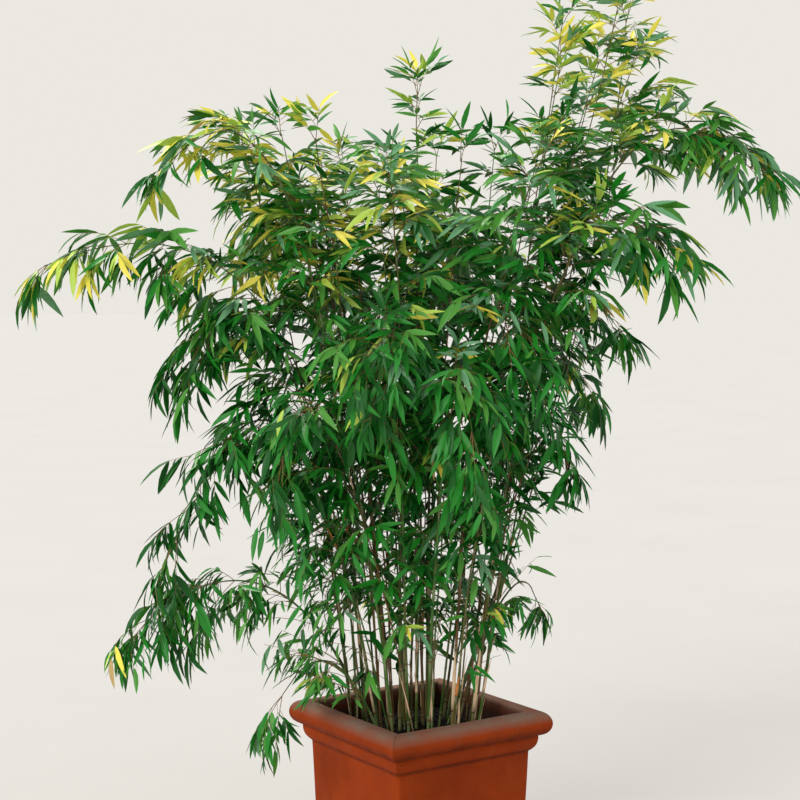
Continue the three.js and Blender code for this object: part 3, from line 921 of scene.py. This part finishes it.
class Look(Nodes):
    """A procedural material in the making, on Object coordinates."""

    def __init__(self, name, roughness):
        self.material = bpy.data.materials.new(name)
        self.material.use_nodes = True
        super().__init__(self.material.node_tree)
        self.shader = self.tree.nodes["Principled BSDF"]
        self.set("Roughness", roughness)
        self.place = self.node("ShaderNodeTexCoord").outputs["Object"]
        self.body = None

    def set(self, key, value):
        """Sets one of the shader's own sockets."""
        self.feed(self.shader.inputs[key], value)

    def axis(self, name):
        return self.node("ShaderNodeSeparateXYZ", {"Vector": self.place}).outputs[name]

    def noise(self, scale, detail=4.0, rough=0.55, stretch=None):
        """stretch gives the scale along each axis."""
        place = self.place
        if stretch:
            place = self.node("ShaderNodeMapping", {"Vector": place, "Scale": stretch}).outputs[0]
        return self.node("ShaderNodeTexNoise", {
            "Vector": place, "Scale": scale, "Detail": detail, "Roughness": rough}).outputs["Fac"]

    def ramp(self, value, low, high, start=0.0, end=1.0):
        """Maps value from low..high to start..end, kept between them."""
        return self.node("ShaderNodeMapRange", {
            "Value": value, "From Min": low, "From Max": high, "To Min": start,
            "To Max": end}).outputs["Result"]

    def plus(self, one, other):
        return self.math("ADD", one, other)

    def blend(self, share, one, other):
        """Mixes two colours, each a colour or another node's output."""
        node = self.node("ShaderNodeMix", data_type="RGBA")
        sockets = {socket.name: socket for socket in node.inputs if socket.type == "RGBA"}
        self.feed(node.inputs["Factor"], share)
        self.feed(sockets["A"], one)
        self.feed(sockets["B"], other)
        return next(socket for socket in node.outputs if socket.type == "RGBA")

    def over(self, share, other):
        """Lays another colour over the colours so far."""
        self.body = self.blend(share, self.body, other)

    def finish(self):
        """Puts the colours so far on the shader."""
        self.set("Base Color", self.body)
        return self.material

    def relief(self, value, strength, depth):
        bump = self.node("ShaderNodeBump", {
            "Height": value, "Strength": strength, "Distance": depth})
        self.set("Normal", bump.outputs["Normal"])


def clay_look(settings):
    look = Look("weathered clay", 0.8)
    tall = look.axis("Z")
    broad = look.ramp(look.noise(7, 5, 0.6), 0.35, 0.68)
    look.body = look.blend(broad, settings.clay, settings.clay_dark)
    look.over(look.ramp(look.noise(26, 6, 0.65), 0.56, 0.8, 0.0, 0.3), settings.stain_and_shade)
    # Rain marks run down the walls.
    rain = look.ramp(look.noise(1, 5, 0.6, (38, 38, 3.5)), 0.58, 0.85, 0.0, 0.14)
    look.over(rain, settings.lime)
    # Grime and painted shade lie under the rim and under the band: their undersides, which fall in
    # shade, are darkened.
    under = look.times(look.ramp(tall, NECK - 0.006, NECK - 0.0005),
                       look.ramp(tall, NECK + 0.024, NECK + 0.006))
    foot = look.times(look.ramp(tall, BAND - 0.010, BAND - 0.003),
                      look.ramp(tall, BAND + 0.006, BAND - 0.001))
    dirt_and_shade = look.times(look.plus(under, foot),
                      look.ramp(look.noise(30, 5, 0.6), 0.25, 0.6, 0.4, 1.0))
    look.over(look.times(dirt_and_shade, 0.62), settings.stain_and_shade)
    # Grey bloom lies on top of the rim.
    bloom = look.times(look.ramp(tall, POT_HEIGHT - 0.024, POT_HEIGHT - 0.005),
                       look.ramp(look.noise(16, 7, 0.7), 0.3, 0.6, 0.5, 1.0))
    look.over(look.times(bloom, 0.85), settings.lime)
    # The mouth is painted dark: painted shade inside it, with moist grime.
    sides = [look.math("ABSOLUTE", look.axis(name)) for name in ("X", "Y")]
    inside = look.times(look.ramp(look.math("MAXIMUM", *sides), MOUTH_HALF + 0.0015,
                                  MOUTH_HALF - 0.0012),
                        look.ramp(tall, SOIL_HIGH[2] - 0.02, SOIL_HIGH[2] - 0.01))
    look.over(look.times(inside, 0.9), shade(settings.lime, 0.12))
    # The rim has a fine dark line at each mitre: painted shade, as in a groove.
    mitre_shade = look.ramp(look.math("ABSOLUTE", look.math("SUBTRACT", *sides)), 0.0034, 0.0)
    mitre_shade = look.times(mitre_shade, look.ramp(tall, NECK + 0.010, NECK + 0.026))
    look.over(look.times(mitre_shade, 0.4), settings.stain_and_shade)
    # Small pits, sunk by the bump, are darkened too: painted shade in the hollows.
    pits = look.node("ShaderNodeTexVoronoi", {"Vector": look.place, "Scale": 85})
    pit = look.times(look.ramp(pits.outputs["Distance"], 0.13, 0.05),
                     look.ramp(look.noise(40, 2), 0.55, 0.6))
    look.over(look.times(pit, 0.8), settings.stain_and_shade)
    look.set("Roughness", look.ramp(look.noise(22, 4), 0.3, 0.7, 0.68, 0.88))
    look.set("Specular IOR Level", 0.1)
    grain = look.plus(look.times(look.noise(210, 6, 0.7), 0.5), look.noise(34, 4, 0.6))
    look.relief(look.plus(grain, look.times(pit, -1.2)), 0.3, 0.001)
    return look.finish()


def earth_look(settings):
    look = Look("moist soil", 0.95)
    clods = look.ramp(look.noise(65, 8, 0.75), 0.35, 0.7)
    look.body = look.blend(clods, shade(settings.earth, 0.45), settings.earth)
    fleck = look.ramp(look.noise(190, 3, 0.6), 0.66, 0.72)
    look.over(look.times(fleck, 0.6), settings.crust)
    look.set("Roughness", look.ramp(look.noise(90, 3), 0.3, 0.7, 0.8, 1.0))
    look.set("Specular IOR Level", 0.1)
    look.relief(look.noise(120, 8, 0.75), 0.9, 0.003)
    return look.finish()


def cane_look(name, settings, skin):
    """Streaked skin with brown patches, and a pale bloom and a dark scar at each joint."""
    look = Look(name, 0.42)
    streaks = look.ramp(look.noise(1, 5, 0.6, (90, 90, 7)), 0.3, 0.72)
    look.body = look.blend(streaks, skin, shade(skin, 0.42))
    look.over(look.ramp(look.noise(9, 4, 0.6), 0.52, 0.72, 0.0, 0.6), settings.brown)
    ring = look.node("ShaderNodeAttribute", attribute_name="ring").outputs["Fac"]
    look.over(look.times(look.ramp(ring, 0.05, 0.5), 0.4), settings.bloom)
    look.over(look.ramp(ring, 0.8, 1.0), shade(settings.brown, 0.5))
    look.set("Roughness", look.ramp(look.noise(40, 3), 0.3, 0.7, 0.34, 0.52))
    look.relief(look.noise(1, 4, 0.6, (700, 700, 25)), 0.25, 0.0006)
    return look.finish()


def sheath_look(name, skin):
    look = Look(name, 0.72)
    streaks = look.ramp(look.noise(1, 6, 0.65, (260, 260, 16)), 0.35, 0.7)
    look.body = look.blend(streaks, skin, shade(skin, 0.55))
    spots = tuple(level * share for level, share in zip(skin, (0.55, 0.4, 0.28)))
    look.over(look.ramp(look.noise(45, 4, 0.6), 0.55, 0.7, 0.0, 0.55), spots)
    look.relief(look.noise(1, 3, 0.6, (600, 600, 30)), 0.4, 0.0006)
    return look.finish()


def twig_look(skin):
    look = Look("twig bark", 0.7)
    look.body = look.blend(look.ramp(look.noise(30, 3), 0.35, 0.65), skin, shade(skin, 0.45))
    return look.finish()


def leaf_look(name, skin):
    """One plain colour, with a fine grain in its relief."""
    look = Look(name, 0.45)
    look.set("Base Color", skin)
    look.set("Specular IOR Level", 0.35)
    look.relief(look.noise(240, 3, 0.6), 0.25, 0.0004)
    return look.material


def floor_look(paint):
    look = Look("pale floor", 0.9)
    look.body = look.blend(look.ramp(look.noise(1.5, 3), 0.3, 0.7), paint, shade(paint, 0.97))
    return look.finish()


# Shapes.

def squared_ring(half, corner, steps, side):
    """A closed square outline with round corners, counter-clockwise."""
    points = []
    for quarter in range(4):
        turn = math.radians(90 * quarter)
        middle = Vector((half - corner, half - corner)).to_3d()
        arc = [middle + Vector((math.cos(a), math.sin(a), 0)) * corner
               for a in (math.radians(90 * i / steps) for i in range(steps + 1))]
        end = Vector((corner - half, half, 0))
        arc += [arc[-1].lerp(end, i / side) for i in range(1, side)]
        points += [Matrix.Rotation(turn, 3, "Z") @ p for p in arc]
    return points


def corner_at(height):
    """The walls have soft corners, and the band and rim sharper ones."""
    return mix((0.0085, 0.0032), within(height, POT_HEIGHT - 0.092, POT_HEIGHT - 0.080))


def planter_profile():
    """Half widths and heights from the middle of the underside round to the inner floor."""
    def straight(start, end, count):
        return [(mix((start[0], end[0]), i / count), mix((start[1], end[1]), i / count))
                for i in range(1, count + 1)]

    def arc(middle, radius, start, end, count):
        return [(middle[0] + radius[0] * math.cos(math.radians(a)),
                 middle[1] + radius[1] * math.sin(math.radians(a)))
                for a in (mix((start, end), i / count) for i in range(count + 1))]

    foot, wall_top = (0.168, 0.003), (0.1795, BAND - 0.004)
    lip, floor = (MOUTH_HALF, POT_HEIGHT - 0.008), (0.152, 0.025)
    return [
        (0.0, 0.0), (0.09, 0.0), (0.1655, 0.0), (0.1672, 0.0006), foot,
        *straight(foot, wall_top, 14),
        (0.1805, BAND - 0.0025), (0.1830, BAND), (0.1865, BAND + 0.0042),
        (0.1895, BAND + 0.0092), (0.1918, BAND + 0.0150), (0.1932, BAND + 0.0210),
        (0.1938, NECK - 0.0070), (0.1936, NECK - 0.0030), (0.1938, NECK - 0.0008),
        (0.1965, NECK + 0.0006),
        *arc((0.194, NECK + 0.027), (0.023, 0.027), -72, 90, 20),
        (0.188, POT_HEIGHT), (0.180, POT_HEIGHT - 0.0003), (0.1762, POT_HEIGHT - 0.0008),
        (0.1736, POT_HEIGHT - 0.0026), lip,
        *straight(lip, floor, 6),
        (0.075, floor[1]), (0.0, floor[1]),
    ]


def lofted(name, rows, steps, side, nudge):
    """A shell through square outlines. A row of no width is a pole, and nudge moves the points."""
    points, faces, before = [], [], None
    count = 4 * (steps + side)
    for half, height in rows:
        if half == 0:
            ring = [len(points)] * count
            points.append((0, 0, height))
        else:
            corner = min(half * 0.5, corner_at(height))
            ring = list(range(len(points), len(points) + count))
            points += [nudge(Vector((p.x, p.y, height))) for p in
                       squared_ring(half, corner, steps, side)]
        if before:
            for i in range(count):
                j = (i + 1) % count
                loop = [before[i], before[j], ring[j], ring[i]]
                loop = [v for k, v in enumerate(loop) if v != loop[k - 1]]
                if len(loop) > 2:
                    faces.append(loop)
        before = ring
    return new_piece(name, points, faces)


def leaf_shape(name, droop, sickle, twist, fold, width):
    """One leaf of unit length along +X, lying level at its root, its upper side up."""
    points, faces = [], []
    spot, before = Vector((0, 0, 0)), 0.0
    for share, broad in LEAF_OUTLINE:
        pitch, yaw = droop * share ** 1.2, sickle * share
        way = Vector((math.cos(pitch) * math.cos(yaw), math.cos(pitch) * math.sin(yaw),
                      -math.sin(pitch)))
        spot = spot + way * (share - before)
        before = share
        level = Vector((-math.sin(yaw), math.cos(yaw), 0))
        across = Matrix.Rotation(twist * share, 3, way) @ level
        face = way.cross(across)
        half = broad * width / 2
        if broad == 0:
            points.append(spot)
            continue
        for side in (-1, 0, 1):
            lift = fold * half * abs(side)
            points.append(spot + across * side * half * math.cos(fold) + face * lift)
    for row in range(len(LEAF_OUTLINE) - 2):
        for side in range(2):
            a = row * 3 + side
            faces.append([a, a + 3, a + 4, a + 1])
    tip = len(points) - 1
    faces += [[tip - 3, tip, tip - 2], [tip - 2, tip, tip - 1]]
    piece = new_piece(name, points, faces)
    smooth(piece)
    return piece


def lump_shape():
    """A knobbly crumb of eight faces."""
    points = [(1, 0.1, 0), (-0.9, 0, 0.2), (0, 1, 0.1), (0.2, -1.1, 0), (0.1, 0, 0.9),
              (0, 0.2, -1)]
    faces = [(0, 2, 4), (2, 1, 4), (1, 3, 4), (3, 0, 4), (2, 0, 5), (1, 2, 5), (3, 1, 5),
             (0, 3, 5)]
    return new_piece("crumb_shape", points, faces)


def lay_tubes(name, rows, tree, sides, look, nodes):
    """Round tubes along rows of (points, radii, rings), which are in the clump's frame."""
    points, edges, radii, rings = [], [], [], []
    for spots, thick, marks in rows:
        first = len(points)
        points += list(to_frame(np.array(spots)))
        edges += [(i, i + 1) for i in range(first, len(points) - 1)]
        radii += list(thick)
        rings += list(marks)
    piece = new_piece(name, points, [], edges)
    add_numbers(piece.data, "radius_at", "FLOAT", radii)
    add_numbers(piece.data, "ring", "FLOAT", rings)
    put_on(piece, tree, Sides=sides, Thickness=1.0, Material=look)
    hand_over(piece, None, nodes)


# Pieces.

class BAMBOO_OT_planter(bpy.types.Operator):
    """Makes the square clay planter with its rolled rim"""
    bl_idname = "bamboo.planter"
    bl_label = "Planter"

    def execute(self, context):
        settings = context.scene.bamboo_planter

        def nudge(p):
            """The foot stays flat, the walls wander, and the top of the rim dips a little."""
            if p.z < 0.004:
                return p
            push = noise.noise(p * 6) + 0.5 * noise.noise(p * 19 + Vector((3, 1, 7)))
            out = Vector((p.x, p.y, 0)).normalized()
            dip = 0.0
            if p.z > POT_HEIGHT - 0.017:
                dip = 0.6 * noise.noise(p * 9 + Vector((8, 8, 0))) - 0.4
            return p + out * push * settings.unevenness + Vector((0, 0, dip)) * settings.unevenness

        piece = lofted("planter", planter_profile(), 6, 12, nudge)
        smooth(piece)
        hand_over(piece, clay_look(settings), ["pot"])
        return {"FINISHED"}


class BAMBOO_OT_soil(bpy.types.Operator):
    """Makes the soil bed and the crumbs on it"""
    bl_idname = "bamboo.soil"
    bl_label = "Soil"

    def execute(self, context):
        settings = context.scene.bamboo_soil
        edge, top = SOIL_HIGH[0], SOIL_HIGH[2]

        def nudge(p):
            """The top rises towards the canes, sinks at the edge, and is rough all over."""
            if p.z < top - 0.001:
                return p
            out = max(abs(p.x), abs(p.y)) / edge
            rise = settings.mound * (1 - out ** 2) - 0.005 * out ** 4
            rough = noise.noise(p * 34) * 0.0035 + noise.noise(p * 95) * 0.002
            return p + Vector((0, 0, rise + rough * (1 - 0.4 * out)))

        low = top - 0.03
        rows = [(0.0, low), (edge * 0.5, low), (edge - 0.0002, low)]
        rows += [(edge * i / 30, top) for i in range(30, -1, -1)]
        bed = lofted("soil_bed", rows, 5, 18, nudge)
        smooth(bed)
        look = earth_look(settings)
        top_faces = [list(f.vertices) for f in bed.data.polygons if f.normal.z > 0.5
                     and max(abs(f.center.x), abs(f.center.y)) < edge - 0.008]
        crumbs = new_piece("soil_crumbs", [v.co for v in bed.data.vertices], top_faces)
        lump = lump_shape()
        put_on(crumbs, crumb_tree(), Lump=lump, Density=settings.crumbs, Size=settings.crumb,
               Seed=CRUMB_SEED, Material=look)
        bpy.data.objects.remove(lump)
        hand_over(bed, look, ["soil"])
        hand_over(crumbs, None, ["soil"])
        return {"FINISHED"}


class BAMBOO_OT_canes(bpy.types.Operator):
    """Makes the jointed canes, in three ages of skin"""
    bl_idname = "bamboo.canes"
    bl_label = "Canes"

    def execute(self, context):
        settings = context.scene.bamboo_canes
        runs = {name: [] for name, _ in SKINS}
        for track in tracks_of(context):
            runs[track.skin].append(self.run_of(track, settings))
        tree, nodes = tube_tree(), nodes_of("cane_", clump_of(context)[0])
        for name, rows in runs.items():
            look = cane_look(f"{name} cane skin", settings, getattr(settings, name))
            lay_tubes(f"canes_{name}", rows, tree, 8, look, nodes)
        return {"FINISHED"}

    @staticmethod
    def run_of(track, settings):
        """Points, radii and ring marks along one cane: a swollen ring at every joint."""
        cane, whole = track.cane, track.whole
        marks = [(-0.006 / whole, 1.0, 0.0)]
        for share in track.joints:
            marks += [(share + off / whole, swell or settings.swell, ring)
                      for off, swell, ring in JOINT_MARKS]
        extra = [(a[0] + (b[0] - a[0]) * s, 1.0, 0.0) for a, b in zip(marks, marks[1:])
                 if b[0] - a[0] > 0.03 for s in (0.33, 0.67)]
        marks = sorted(m for m in marks + extra + [(1.0, 0.9, 0.0)] if m[0] <= 1.0)
        points, radii = [], []
        for share, swell, _ in marks:
            sway = SWAY * math.sin(SWAY_TURN * share * whole / settings.joint + track.phase)
            sway *= min(1.0, max(0.0, share) * 8)
            points.append(bend(cane.path, share) + heading(cane.bearing + 90) * sway)
            radii.append(cane.radius(max(0.0, share), settings.tip) * swell)
        return points, radii, [ring for _, _, ring in marks]


class BAMBOO_OT_sheaths(bpy.types.Operator):
    """Makes the papery sheaths round the lower canes"""
    bl_idname = "bamboo.sheaths"
    bl_label = "Sheaths"

    def execute(self, context):
        settings = context.scene.bamboo_sheaths
        tip = context.scene.bamboo_canes.tip
        draw = chance(SHEATH_SEED)
        kinds = {"cream": ([], []), "tan": ([], [])}
        for track in tracks_of(context):
            for share in track.joints:
                height = bend(track.cane.path, share)[2]
                if height > SHEATH_TOP or draw() > self.odds(SHEATH_ODDS, height):
                    continue
                kind = "cream" if draw() < self.odds(CREAM_ODDS, height) else "tan"
                self.wrap(kinds[kind], track, share, settings, tip, draw)
        nodes = nodes_of("cane_", clump_of(context)[0])
        for name, (points, faces) in kinds.items():
            piece = new_piece(f"sheaths_{name}", to_frame(np.array(points)), faces)
            smooth(piece)
            wall = piece.modifiers.new("Wall", "SOLIDIFY")
            wall.thickness, wall.offset = PAPER, 1.0
            settle(piece)
            look = sheath_look(f"{name} sheath", getattr(settings, name))
            hand_over(piece, look, nodes)
        return {"FINISHED"}

    @staticmethod
    def odds(rows, height):
        """The odds of the first row that reaches as high."""
        return next(odds for top, odds in rows if height <= top)

    @staticmethod
    def wrap(store, track, share, settings, tip, draw):
        """One sheath: round the cane at its foot, open and pointed at its top."""
        points, faces = store
        cane, whole = track.cane, track.whole
        tall = settings.tall * (0.55 + 0.75 * draw())
        if tall / whole + share > 0.95:
            return
        turn, stand = draw() * 6.28, settings.stand * (0.3 + 1.3 * draw())
        rows, columns = 7, 8
        first = len(points)
        for i in range(rows):
            s = i / (rows - 1)
            t = share + s * tall / whole
            spot, along = bend(cane.path, t), run(cane.path, t)
            side = unit(np.cross(along, np.array([0.2, 0.9, 0.1])))
            front = np.cross(along, side)
            open_by = mix((3.1, 0.3), s ** 1.4)
            radius = cane.radius(t, tip) * 1.08 + 0.0005 + 0.001 * s
            middle = side * math.cos(turn) + front * math.sin(turn)
            lean = middle * stand * max(0.0, s - 0.35) ** 1.6 * 2
            for j in range(columns):
                a = turn + open_by * (j / (columns - 1) - 0.5)
                out = side * math.cos(a) + front * math.sin(a)
                points.append(spot + out * radius * (1.0 - 0.1 * s) + lean)
        for i in range(rows - 1):
            for j in range(columns - 1):
                a = first + i * columns + j
                faces.append([a, a + 1, a + columns + 1, a + columns])


class BAMBOO_OT_foliage(bpy.types.Operator):
    """Grows the twigs and deals the leaves out in sprays of their own colour"""
    bl_idname = "bamboo.foliage"
    bl_label = "Twigs and leaves"

    def execute(self, context):
        settings = context.scene.bamboo_foliage
        main, thin = clump_of(context)
        growth = Growth()
        for i, cane in enumerate(main + thin):
            leaf_out(growth, cane, TWIG_SEED + TWIG_SEED_STEP * i, settings)
        low_shoots(growth, main + thin, settings)
        nodes = nodes_of("leaves_", [cane for cane in main if cane.leafy])
        rows = [(twig.points, np.linspace(twig.thick, twig.thin, len(twig.points)),
                 [0.0] * len(twig.points)) for twig in growth.twigs]
        lay_tubes("branchlets", rows, tube_tree(), 3, twig_look(settings.twig), nodes)
        shapes = self.leaf_shapes(settings)
        tree = leaf_tree()
        for index, tone in enumerate(TONES):
            leaves = [leaf for leaf in growth.leaves if leaf.tone == index]
            if leaves:
                piece = self.leaf_points(f"leaves_{tone}", leaves)
                put_on(piece, tree, Leaf_Shapes=shapes, Growth=1.0,
                       Material=leaf_look(f"{tone} leaf", getattr(settings, tone)))
                hand_over(piece, None, nodes)
        for shape in list(shapes.objects):
            bpy.data.objects.remove(shape)
        bpy.data.collections.remove(shapes)
        return {"FINISHED"}

    @staticmethod
    def leaf_shapes(settings):
        """A collection of the bent leaf shapes, away from the pieces."""
        shapes = bpy.data.collections.new("leaf_shapes")
        bpy.context.scene.collection.children.link(shapes)
        width = settings.width / settings.leaf
        for i, bends in enumerate(LEAF_BENDS):
            shape = leaf_shape(f"leaf_shape_{i}", *bends, width)
            bpy.context.collection.objects.unlink(shape)
            shapes.objects.link(shape)
        return shapes

    @staticmethod
    def leaf_points(name, leaves):
        """One point for each leaf, with its turn, its size and its shape."""
        piece = new_piece(name, to_frame(np.array([leaf.root for leaf in leaves])), [])
        turns = []
        for leaf in leaves:
            axes = to_frame(np.array([leaf.way, leaf.across, leaf.face]))
            turns.append(tuple(Matrix(axes.tolist()).transposed().to_euler()))
        sizes = [(leaf.long, leaf.long * leaf.broad, leaf.long) for leaf in leaves]
        add_numbers(piece.data, "turn", "FLOAT_VECTOR", turns)
        add_numbers(piece.data, "size", "FLOAT_VECTOR", sizes)
        add_numbers(piece.data, "kind", "INT", [leaf.kind for leaf in leaves])
        return piece


class BAMBOO_OT_stage(bpy.types.Operator):
    """Sets out the pale floor, the soft lights and the camera"""
    bl_idname = "bamboo.stage"
    bl_label = "Stage"

    def execute(self, context):
        settings = context.scene.bamboo_stage
        reach, count = 45.0, 64
        turns = (2 * math.pi * i / count for i in range(count))
        rim = [(reach * math.cos(a), reach * math.sin(a), -0.0005) for a in turns]
        floor = new_piece("floor", rim, [list(range(count))])
        floor.data.materials.append(floor_look(settings.floor))
        floor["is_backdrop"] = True
        self.surround(context, settings)
        self.light("key light", (-2.4, -3.0, 3.2), 30, settings.key, (1.0, 0.98, 0.95))
        self.light("top light", (-1.3, 1.5, 3.6), 14, settings.top, (1.0, 0.97, 0.88))
        self.camera(context, settings)
        context.scene.view_settings.view_transform = "Standard"
        return {"FINISHED"}

    @staticmethod
    def surround(context, settings):
        """Even light from all round, and a pale air for the camera to see."""
        world = bpy.data.worlds.new("soft surround")
        world.use_nodes = True
        nodes = Nodes(world.node_tree)
        lit = world.node_tree.nodes["Background"]
        nodes.feed(lit.inputs["Color"], (0.96, 0.98, 1.0))
        nodes.feed(lit.inputs["Strength"], settings.sky)
        plain = nodes.node("ShaderNodeBackground", {"Color": settings.air})
        path = nodes.node("ShaderNodeLightPath")
        both = nodes.node("ShaderNodeMixShader", {
            "Fac": path.outputs["Is Camera Ray"], 1: lit.outputs[0], 2: plain.outputs[0]})
        nodes.feed(world.node_tree.nodes["World Output"].inputs["Surface"], both.outputs[0])
        context.scene.world = world

    @staticmethod
    def light(name, spot, spread, strength, tint):
        """A broad soft light that shines from the spot past the crown."""
        lamp = bpy.data.lights.new(name, "SUN")
        lamp.angle, lamp.energy, lamp.color = math.radians(spread), strength, tint
        made = bpy.data.objects.new(name, lamp)
        made.location = to_frame(spot)
        aim = Vector((0, 0, 1.0)) - Vector(made.location)
        made.rotation_euler = aim.to_track_quat("-Z", "Y").to_euler()
        bpy.context.collection.objects.link(made)

    @staticmethod
    def camera(context, settings):
        """The photograph's view: from in front of the clump, looking a little down."""
        camera = bpy.data.objects.new("camera", bpy.data.cameras.new("camera"))
        camera.data.lens, camera.data.sensor_width = settings.lens, 36.0
        camera.data.clip_end = 200.0
        camera.location = to_frame((-0.0436, -4.033, 1.415))
        camera.rotation_euler = (math.radians(90 - 4.4), 0.0, -VIEW_TURN)
        context.collection.objects.link(camera)
        context.scene.camera = camera


OPERATORS = (BAMBOO_OT_planter, BAMBOO_OT_soil, BAMBOO_OT_canes, BAMBOO_OT_sheaths,
             BAMBOO_OT_foliage, BAMBOO_OT_stage)


class BAMBOO_PT_panel(bpy.types.Panel):
    """Lists the makers and their settings"""
    bl_idname = "BAMBOO_PT_panel"
    bl_label = "Potted Bamboo"
    bl_space_type = "VIEW_3D"
    bl_region_type = "UI"
    bl_category = "Bamboo"

    def draw(self, context):
        for operator in OPERATORS:
            box = self.layout.box()
            box.operator(operator.bl_idname)
            settings = getattr(context.scene, operator.bl_idname.replace(".", "_"))
            for key in settings.__annotations__:
                box.prop(settings, key)


SETTINGS = {
    "bamboo_planter": PlanterSettings,
    "bamboo_soil": SoilSettings,
    "bamboo_canes": CaneSettings,
    "bamboo_sheaths": SheathSettings,
    "bamboo_foliage": FoliageSettings,
    "bamboo_stage": StageSettings,
}
CLASSES = (*SETTINGS.values(), *OPERATORS, BAMBOO_PT_panel)


def register():
    for item in CLASSES:
        bpy.utils.register_class(item)
    for name, group in SETTINGS.items():
        setattr(bpy.types.Scene, name, PointerProperty(type=group))


def unregister():
    for name in SETTINGS:
        delattr(bpy.types.Scene, name)
    for item in reversed(CLASSES):
        bpy.utils.unregister_class(item)


def main():
    register()
    cad_box = [list(corner) for corner in (CAD_LOW, CAD_HIGH)]
    bpy.ops.bamboo.planter()
    bpy.ops.bamboo.soil()
    bpy.ops.bamboo.canes()
    bpy.ops.bamboo.sheaths()
    bpy.ops.bamboo.foliage()
    bpy.ops.bamboo.stage()
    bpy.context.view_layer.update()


if __name__ == "__main__":
    main()
